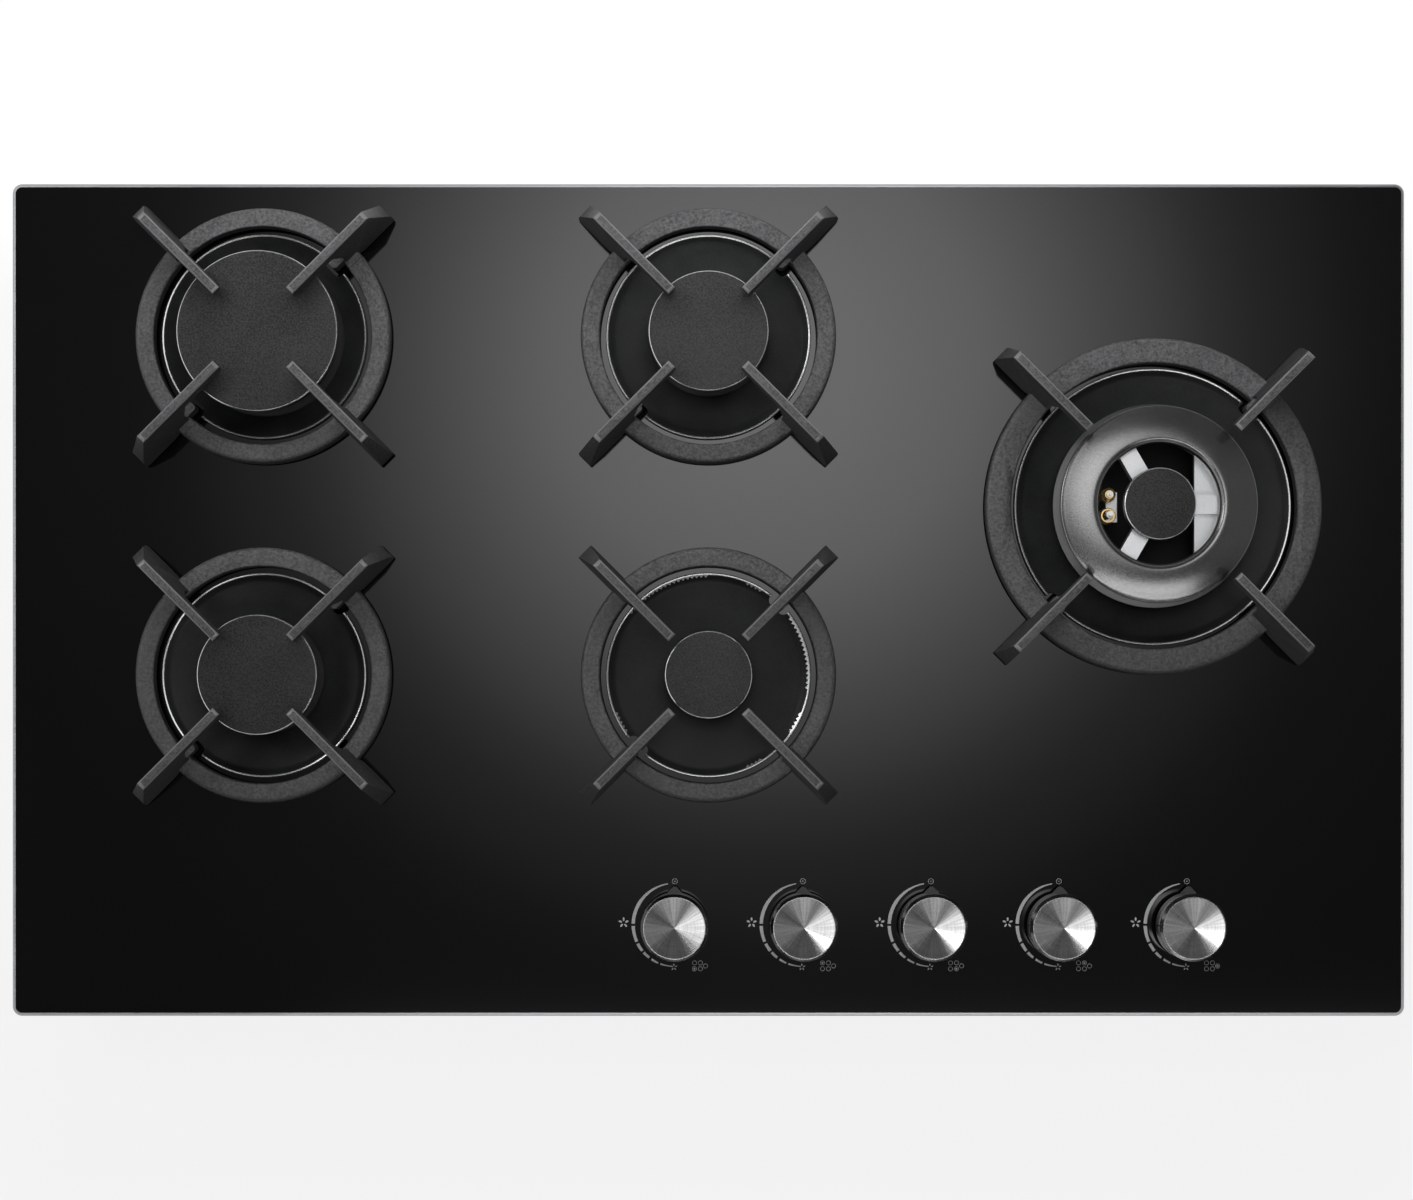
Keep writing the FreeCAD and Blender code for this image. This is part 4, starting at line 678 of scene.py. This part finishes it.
def makeSleeve(name):
    plan = sleeves[name]
    middle = burners["wok"]
    low, high = glassTop + plan["low"], glassTop + plan["high"]
    bore, neck, nut = plan["bore"], plan["neck"], plan["nut"]
    groove, edge = sleeveShape["groove"], sleeveShape["edge"]
    outline = [(bore, low), (nut, low)]
    for step in range(sleeveShape["ridges"]):
        share = sleeveShape["firstRidge"] + sleeveShape["ridgeApart"] * step
        height = low + (high - low) * share
        outline += [(nut, height), (nut - groove, height + groove)]
    outline += [(neck, high - sleeveShape["collar"]), (neck, high - edge),
                (neck - edge, high), (bore, high)]
    x, y = plan["place"]
    piece = spinPiece("wok_%sSleeve" % name, outline, middle.x + x, middle.y + y,
                      sleeveShape["sides"])
    dress(piece, finishes["brass"])
    return hand(piece, "hob_base")


def makeBracket():
    plan = sleeves["bracket"]
    middle = burners["wok"]
    startFresh()
    x, y = plan["place"]
    bpy.ops.mesh.primitive_plane_add(
        size=1, location=(middle.x + x, middle.y + y, glassTop + plan["low"]))
    piece = bpy.context.object
    piece.scale = (*plan["size"], 1)
    settle(piece)
    wall = piece.modifiers.new("plate", "SOLIDIFY")
    wall.thickness = plan["thick"]
    wall.offset = 1
    corners = piece.modifiers.new("corners", "BEVEL")
    corners.width = plan["round"]
    corners.segments = 2
    applyAll(piece)
    piece.name = "wok_probeBracket"
    dress(piece, finishes["platedSteel"])
    return hand(piece, "hob_base")


makeSleeve("sensor")
makeSleeve("spark")
makeBracket()
print("wok burner's details made")


# Knob faces: a slightly hollow spun disc inside the bright rim

face = {
    "radius": 18.7 * mm, "hollow": 0.3 * mm, "under": 0.35 * mm, "rings": 6, "sides": 96,
    "bead": 0.25 * mm, "beadRadius": 18.95 * mm, "beadSides": 8, "rim": 0.4 * mm,
}


def makeKnobFace(name):
    middle = knobs[name]
    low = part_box(name + "_knob")[1].z - face["rim"] + face["under"]
    startFresh()
    bpy.ops.mesh.primitive_circle_add(vertices=face["sides"], radius=face["radius"],
                                      fill_type="NGON", location=(middle.x, middle.y, low))
    piece = bpy.context.object
    settle(piece)
    bpy.ops.object.mode_set(mode="EDIT")
    for ring in range(face["rings"]):
        bpy.ops.mesh.inset(thickness=face["radius"] / (face["rings"] + 0.5), depth=0)
    bpy.ops.mesh.poke()
    bpy.ops.object.mode_set(mode="OBJECT")
    layers = piece.data.uv_layers
    layer = layers[0] if layers else layers.new(name="rings")
    layer.name = "rings"
    for vertex in piece.data.vertices:
        away = (vertex.co.xy - middle.xy).length
        vertex.co.z = low - face["hollow"] * (1 - away / face["radius"])
    for loop in piece.data.loops:
        offset = piece.data.vertices[loop.vertex_index].co.xy - middle.xy
        round_ = 0.5 + math.atan2(offset.y, offset.x) / (2 * math.pi)
        layer.data[loop.index].uv = (offset.length, round_)
    takeUp(piece)
    bpy.ops.object.shade_smooth()
    piece.name = name + "_knobFace"
    dress(piece, finishes["spunMetal"])
    return hand(piece, name + "_knob")


def makeKnobRim(name):
    # a thin bright bead between the face and the knob's edge
    middle = knobs[name]
    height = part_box(name + "_knob")[1].z - face["bead"]
    sides = face["beadSides"]
    turns = [math.radians(360 * step / sides) for step in range(sides)]
    bead = face["bead"]
    outline = [(face["beadRadius"] + bead * math.cos(turn), height + bead * math.sin(turn))
               for turn in turns]
    piece = spinPiece(name + "_knobRim", outline, middle.x, middle.y)
    dress(piece, finishes["stemSteel"])
    return hand(piece, name + "_knob")


for name in knobOrder:
    makeKnobFace(name)
    makeKnobRim(name)
print("knob faces made")


# Printed marks round each knob

marks = {
    "thick": 0.03 * mm, "radius": 26.0 * mm, "ribbonStep": 3, "widening": 1.6, "ringSides": 20,
    "petals": 5, "petalSides": 12,
    "arcs": [
        (99.3, 178.5, 0.6, 2.1), (181.5, 204.0, 2.1, 1.9), (207.0, 218.7, 1.9, 1.8),
        (221.6, 232.0, 1.7, 1.5), (236.0, 246.5, 1.4, 1.1), (249.6, 264.4, 1.1, 0.7),
    ],
    "off": {"away": 27.2 * mm, "radius": 1.75 * mm, "line": 0.26 * mm, "cross": 0.42},
    "largeFlame": {
        "place": (-32.0 * mm, 1.4 * mm), "reach": 3.3 * mm, "petal": (1.15 * mm, 0.62 * mm),
    },
    "smallFlame": {
        "place": (-0.6 * mm, -26.4 * mm), "reach": 2.2 * mm, "petal": (0.75 * mm, 0.38 * mm),
    },
    "map": {
        "places": {
            "front_left": (12.3, -27.5), "rear_left": (12.3, -23.8), "front_middle": (16.0, -27.5),
            "rear_middle": (16.0, -23.8), "wok": (19.2, -25.7),
        },
        "radius": 1.45 * mm, "line": 0.27 * mm, "dot": 0.62 * mm,
    },
}


def flatRibbon(middle, start, end, wideStart, wideEnd):
    # a strip of squares curled round the knob, widening or narrowing on its way
    steps = max(3, int((end - start) / marks["ribbonStep"]))
    startFresh()
    bpy.ops.mesh.primitive_grid_add(x_subdivisions=steps, y_subdivisions=1, size=1,
                                    location=(0, 0, 0))
    strip = bpy.context.object
    for vertex in strip.data.vertices:
        along = vertex.co.x + 0.5
        angle = math.radians(start + (end - start) * along)
        share = min(1, along * marks["widening"])
        wide = (wideStart + (wideEnd - wideStart) * share) * mm
        away = marks["radius"] + vertex.co.y * -wide
        vertex.co = (middle.x + away * math.cos(angle), middle.y + away * math.sin(angle),
                     glassTop + marks["thick"])
    return strip


def flatRing(x, y, radius, line):
    startFresh()
    bpy.ops.mesh.primitive_circle_add(vertices=marks["ringSides"], radius=radius, fill_type="NGON",
                                      location=(x, y, glassTop + marks["thick"]))
    ring = bpy.context.object
    settle(ring)
    if line < radius:
        bpy.ops.object.mode_set(mode="EDIT")
        bpy.ops.mesh.select_all(action="SELECT")
        bpy.ops.mesh.inset(thickness=line, depth=0)
        bpy.ops.mesh.delete(type="FACE")
        bpy.ops.object.mode_set(mode="OBJECT")
    return ring


def flatPetal(x, y, turn, long, wide):
    startFresh()
    bpy.ops.mesh.primitive_circle_add(vertices=marks["petalSides"], radius=1, fill_type="NGON",
                                      location=(x, y, glassTop + marks["thick"]),
                                      rotation=(0, 0, turn))
    petal = bpy.context.object
    petal.scale = (long, wide, 1)
    settle(petal)
    return petal


def flameSign(middle, sign):
    petals = []
    away = sign["reach"] - sign["petal"][0]
    for step in range(marks["petals"]):
        turn = math.radians(90 + 360 * step / marks["petals"])
        x = middle.x + sign["place"][0] + away * math.cos(turn)
        y = middle.y + sign["place"][1] + away * math.sin(turn)
        petals.append(flatPetal(x, y, turn, *sign["petal"]))
    return petals


def makeMarks(name):
    middle = knobs[name]
    pieces = [flatRibbon(middle, *arc) for arc in marks["arcs"]]
    off = marks["off"]
    pieces.append(flatRing(middle.x, middle.y + off["away"], off["radius"], off["line"]))
    for turn in (0, math.pi / 2):
        pieces.append(flatPetal(middle.x, middle.y + off["away"], turn,
                                off["radius"] * off["cross"], off["line"] / 2))
    pieces.extend(flameSign(middle, marks["largeFlame"]))
    pieces.extend(flameSign(middle, marks["smallFlame"]))
    plan = marks["map"]
    for burner, (x, y) in plan["places"].items():
        pieces.append(flatRing(middle.x + x * mm, middle.y + y * mm, plan["radius"], plan["line"]))
        if burner == name:
            pieces.append(flatRing(middle.x + x * mm, middle.y + y * mm, plan["dot"], plan["dot"]))
    piece = joinAll(pieces, name + "_marks")
    for vertex in piece.data.vertices:
        vertex.co.z = glassTop + marks["thick"]
    takeUp(piece)
    bpy.ops.object.mode_set(mode="EDIT")
    bpy.ops.mesh.select_all(action="SELECT")
    bpy.ops.mesh.normals_make_consistent(inside=False)
    bpy.ops.object.mode_set(mode="OBJECT")
    flip = sum(face.normal.z * face.area for face in piece.data.polygons) < 0
    wall = piece.modifiers.new("inkThickness", "SOLIDIFY")
    wall.thickness = marks["thick"]
    wall.offset = 1 if flip else -1
    applyAll(piece)
    dress(piece, finishes["printGrey"])
    return hand(piece, "hob_base")


for name in knobOrder:
    makeMarks(name)
print("printed marks made")


# Floor, studio walls of light and the lamps

studio = {
    "floorSize": 12, "floorColour": 0.93, "floorWhite": 0.85, "cardHeight": 1.5,
    "cardSize": (1.84, 1.56), "cardMiddle": (0.0, -0.02), "glowPlace": (0.071, 0.362),
    "glowReach": 1.0,
    "glow": [
        (0.0, 0.136), (0.12, 0.136), (0.27, 0.11), (0.34, 0.086), (0.43, 0.058), (0.56, 0.025),
        (0.62, 0.016), (0.74, 0.0075), (0.8, 0.0055), (1.0, 0.004),
    ],
    "glassReflects": 0.04, "frontStrip": ((0.3, -0.64), (0.85, 0.17), 4.0), "stripEdge": 0.8,
    "horizon": (0.12, 0.3), "overhead": (0.93, 0.97), "overheadLight": 0.1,
    "walls": [
        (-180, 1.3), (-132, 1.2), (-128, 0.12), (-116, 0.12), (-100, 0.35), (-92, 0.4), (-90, 0.9),
        (-87, 0.4), (-68, 0.3), (-62, 0.5), (-56, 0.12), (-40, 0.06), (-28, 0.12), (-18, 0.22),
        (0, 0.24), (30, 0.2), (38, 0.08), (85, 0.1), (140, 0.06), (151, 0.2), (156, 1.2),
        (180, 1.3),
    ],
    "skyLight": [(0.0, 0.04), (0.30, 0.05), (0.55, 0.12), (0.8, 0.2), (1.0, 0.24)],
    "key": {"place": (-1.6, 0.8, 1.9), "size": 0.8, "power": 10.0, "aim": (0, 0, 0)},
    "back": {
        "place": (0.02, 0.46, 0.3), "size": 1.1, "depth": 0.25, "power": 5.0,
        "aim": (0.02, -0.05, 0), "unseen": True,
    },
}


def makeFloor():
    startFresh()
    bpy.ops.mesh.primitive_plane_add(size=studio["floorSize"], location=(0, 0, floorHeight))
    floor = bpy.context.object
    floor.name = "paleFloor"
    material = bpy.data.materials.new("paleFloor")
    material.use_nodes = True
    tree, nodes, links = nodesOf(material)
    nodes.remove(nodes["Principled BSDF"])
    matt = addNode(tree, "ShaderNodeBsdfDiffuse", Color=(*[studio["floorColour"]] * 3, 1))
    white = addNode(tree, "ShaderNodeEmission", Color=(1, 1, 1, 1), Strength=1.0)
    path = addNode(tree, "ShaderNodeLightPath").outputs
    seen = mathNode(tree, "MAXIMUM", path["Is Camera Ray"], path["Is Glossy Ray"])
    share = mathNode(tree, "MULTIPLY", seen, studio["floorWhite"])
    mix = addNode(tree, "ShaderNodeMixShader")
    links.new(share, mix.inputs["Fac"])
    links.new(matt.outputs[0], mix.inputs[1])
    links.new(white.outputs[0], mix.inputs[2])
    links.new(mix.outputs[0], nodes["Material Output"].inputs["Surface"])
    floor.data.materials.append(material)


def makeGlowCard():
    # a soft light sheet high above, seen only in reflections
    startFresh()
    height = glassTop + studio["cardHeight"]
    bpy.ops.mesh.primitive_plane_add(size=1, location=(*studio["cardMiddle"], height))
    card = bpy.context.object
    card.name = "glowCard"
    card.scale = (*studio["cardSize"], 1)
    settle(card)
    material = bpy.data.materials.new("glowCard")
    material.use_nodes = True
    tree, nodes, links = nodesOf(material)
    nodes.remove(nodes["Principled BSDF"])
    place = addNode(tree, "ShaderNodeTexCoord").outputs["Object"]
    away = tree.nodes.new("ShaderNodeVectorMath")
    away.operation = "DISTANCE"
    links.new(place, away.inputs[0])
    away.inputs[1].default_value = (*studio["glowPlace"], height)
    reach = mathNode(tree, "DIVIDE", away.outputs["Value"], studio["glowReach"])
    glow = rampNode(tree, reach, studio["glow"])
    total = addNode(tree, "ShaderNodeVectorMath", operation="SCALE",
                    Scale=1 / studio["glassReflects"])
    links.new(glow, total.inputs[0])
    total = addStrip(tree, place, total.outputs[0], *studio["frontStrip"])
    light = addNode(tree, "ShaderNodeEmission", Strength=1.0)
    links.new(total, light.inputs["Color"])
    links.new(light.outputs[0], nodes["Material Output"].inputs["Surface"])
    card.data.materials.append(material)
    card.visible_camera = False
    card.visible_diffuse = False
    card.visible_shadow = False
    card.visible_transmission = False


def addStrip(tree, place, total, middle, half, strength):
    # a soft oblong light on the sheet, outside what the glass shows from above
    split = addNode(tree, "ShaderNodeSeparateXYZ")
    tree.links.new(place, split.inputs[0])
    share = None
    for axis, centre, reach in zip("XY", middle, half):
        away = mathNode(tree, "ABSOLUTE", mathNode(tree, "SUBTRACT", split.outputs[axis], centre))
        inside = mapRange(tree, away, reach, reach * studio["stripEdge"], 0.0,
                          strength if share is None else 1.0)
        share = inside if share is None else mathNode(tree, "MULTIPLY", share, inside)
    added = addNode(tree, "ShaderNodeVectorMath", operation="ADD")
    tree.links.new(total, added.inputs[0])
    tree.links.new(share, added.inputs[1])
    return added.outputs[0]


def makeWorld():
    # white for the eye and near the horizon; above it, light walls and dark gaps round the object
    world = bpy.data.worlds.new("studio")
    bpy.context.scene.world = world
    world.use_nodes = True
    tree = world.node_tree
    links = tree.links
    tree.nodes.clear()
    out = addNode(tree, "ShaderNodeOutputWorld")
    way = addNode(tree, "ShaderNodeTexCoord").outputs["Generated"]
    split = addNode(tree, "ShaderNodeSeparateXYZ")
    links.new(way, split.inputs[0])
    compass = addNode(tree, "ShaderNodeTexGradient", gradient_type="RADIAL")
    links.new(way, compass.inputs["Vector"])
    walls = rampNode(tree, compass.outputs["Fac"], lightWalls())
    height = mapRange(tree, split.outputs["Z"], *studio["horizon"], 0.0, 1.0)
    overhead = mapRange(tree, split.outputs["Z"], *studio["overhead"], 1.0, studio["overheadLight"])
    mixed = addNode(tree, "ShaderNodeMix", data_type="RGBA")
    links.new(height, mixed.inputs["Factor"])
    mixed.inputs["A"].default_value = (1, 1, 1, 1)
    links.new(walls, mixed.inputs["B"])
    dim = addNode(tree, "ShaderNodeVectorMath", operation="SCALE")
    links.new(mixed.outputs["Result"], dim.inputs[0])
    links.new(overhead, dim.inputs["Scale"])
    path = addNode(tree, "ShaderNodeLightPath")
    reflected = addNode(tree, "ShaderNodeBackground", Strength=1.0)
    links.new(dim.outputs[0], reflected.inputs["Color"])
    even = addNode(tree, "ShaderNodeBackground", Strength=1.0)
    links.new(rampNode(tree, split.outputs["Z"], studio["skyLight"]), even.inputs["Color"])
    white = addNode(tree, "ShaderNodeBackground", Strength=1.0)
    white.inputs["Color"].default_value = (1, 1, 1, 1)
    first = addNode(tree, "ShaderNodeMixShader")
    links.new(path.outputs["Is Glossy Ray"], first.inputs["Fac"])
    links.new(even.outputs[0], first.inputs[1])
    links.new(reflected.outputs[0], first.inputs[2])
    second = addNode(tree, "ShaderNodeMixShader")
    seen = mathNode(tree, "MAXIMUM", path.outputs["Is Camera Ray"],
                    path.outputs["Is Transmission Ray"])
    links.new(seen, second.inputs["Fac"])
    links.new(first.outputs[0], second.inputs[1])
    links.new(white.outputs[0], second.inputs[2])
    links.new(second.outputs[0], out.inputs["Surface"])


def lightWalls():
    # brightness by direction: degrees counted from +X towards +Y
    return [((angle + 180) / 360, value) for angle, value in studio["walls"]]


def addLamp(name, lamp):
    startFresh()
    place = Vector(lamp["place"])
    bpy.ops.object.light_add(type="AREA", location=place)
    light = bpy.context.object
    light.name = name
    light.data.shape = "RECTANGLE"
    light.data.size = lamp["size"]
    light.data.size_y = lamp.get("depth", lamp["size"])
    light.data.energy = lamp["power"]
    light.rotation_mode = "QUATERNION"
    light.rotation_quaternion = (Vector(lamp["aim"]) - place).to_track_quat("-Z", "Y")
    light.visible_glossy = not lamp.get("unseen", False)


makeFloor()
makeGlowCard()
makeWorld()
addLamp("keyLamp", studio["key"])
addLamp("backLamp", studio["back"])
bpy.context.scene.view_settings.view_transform = "Standard"
print("studio made")
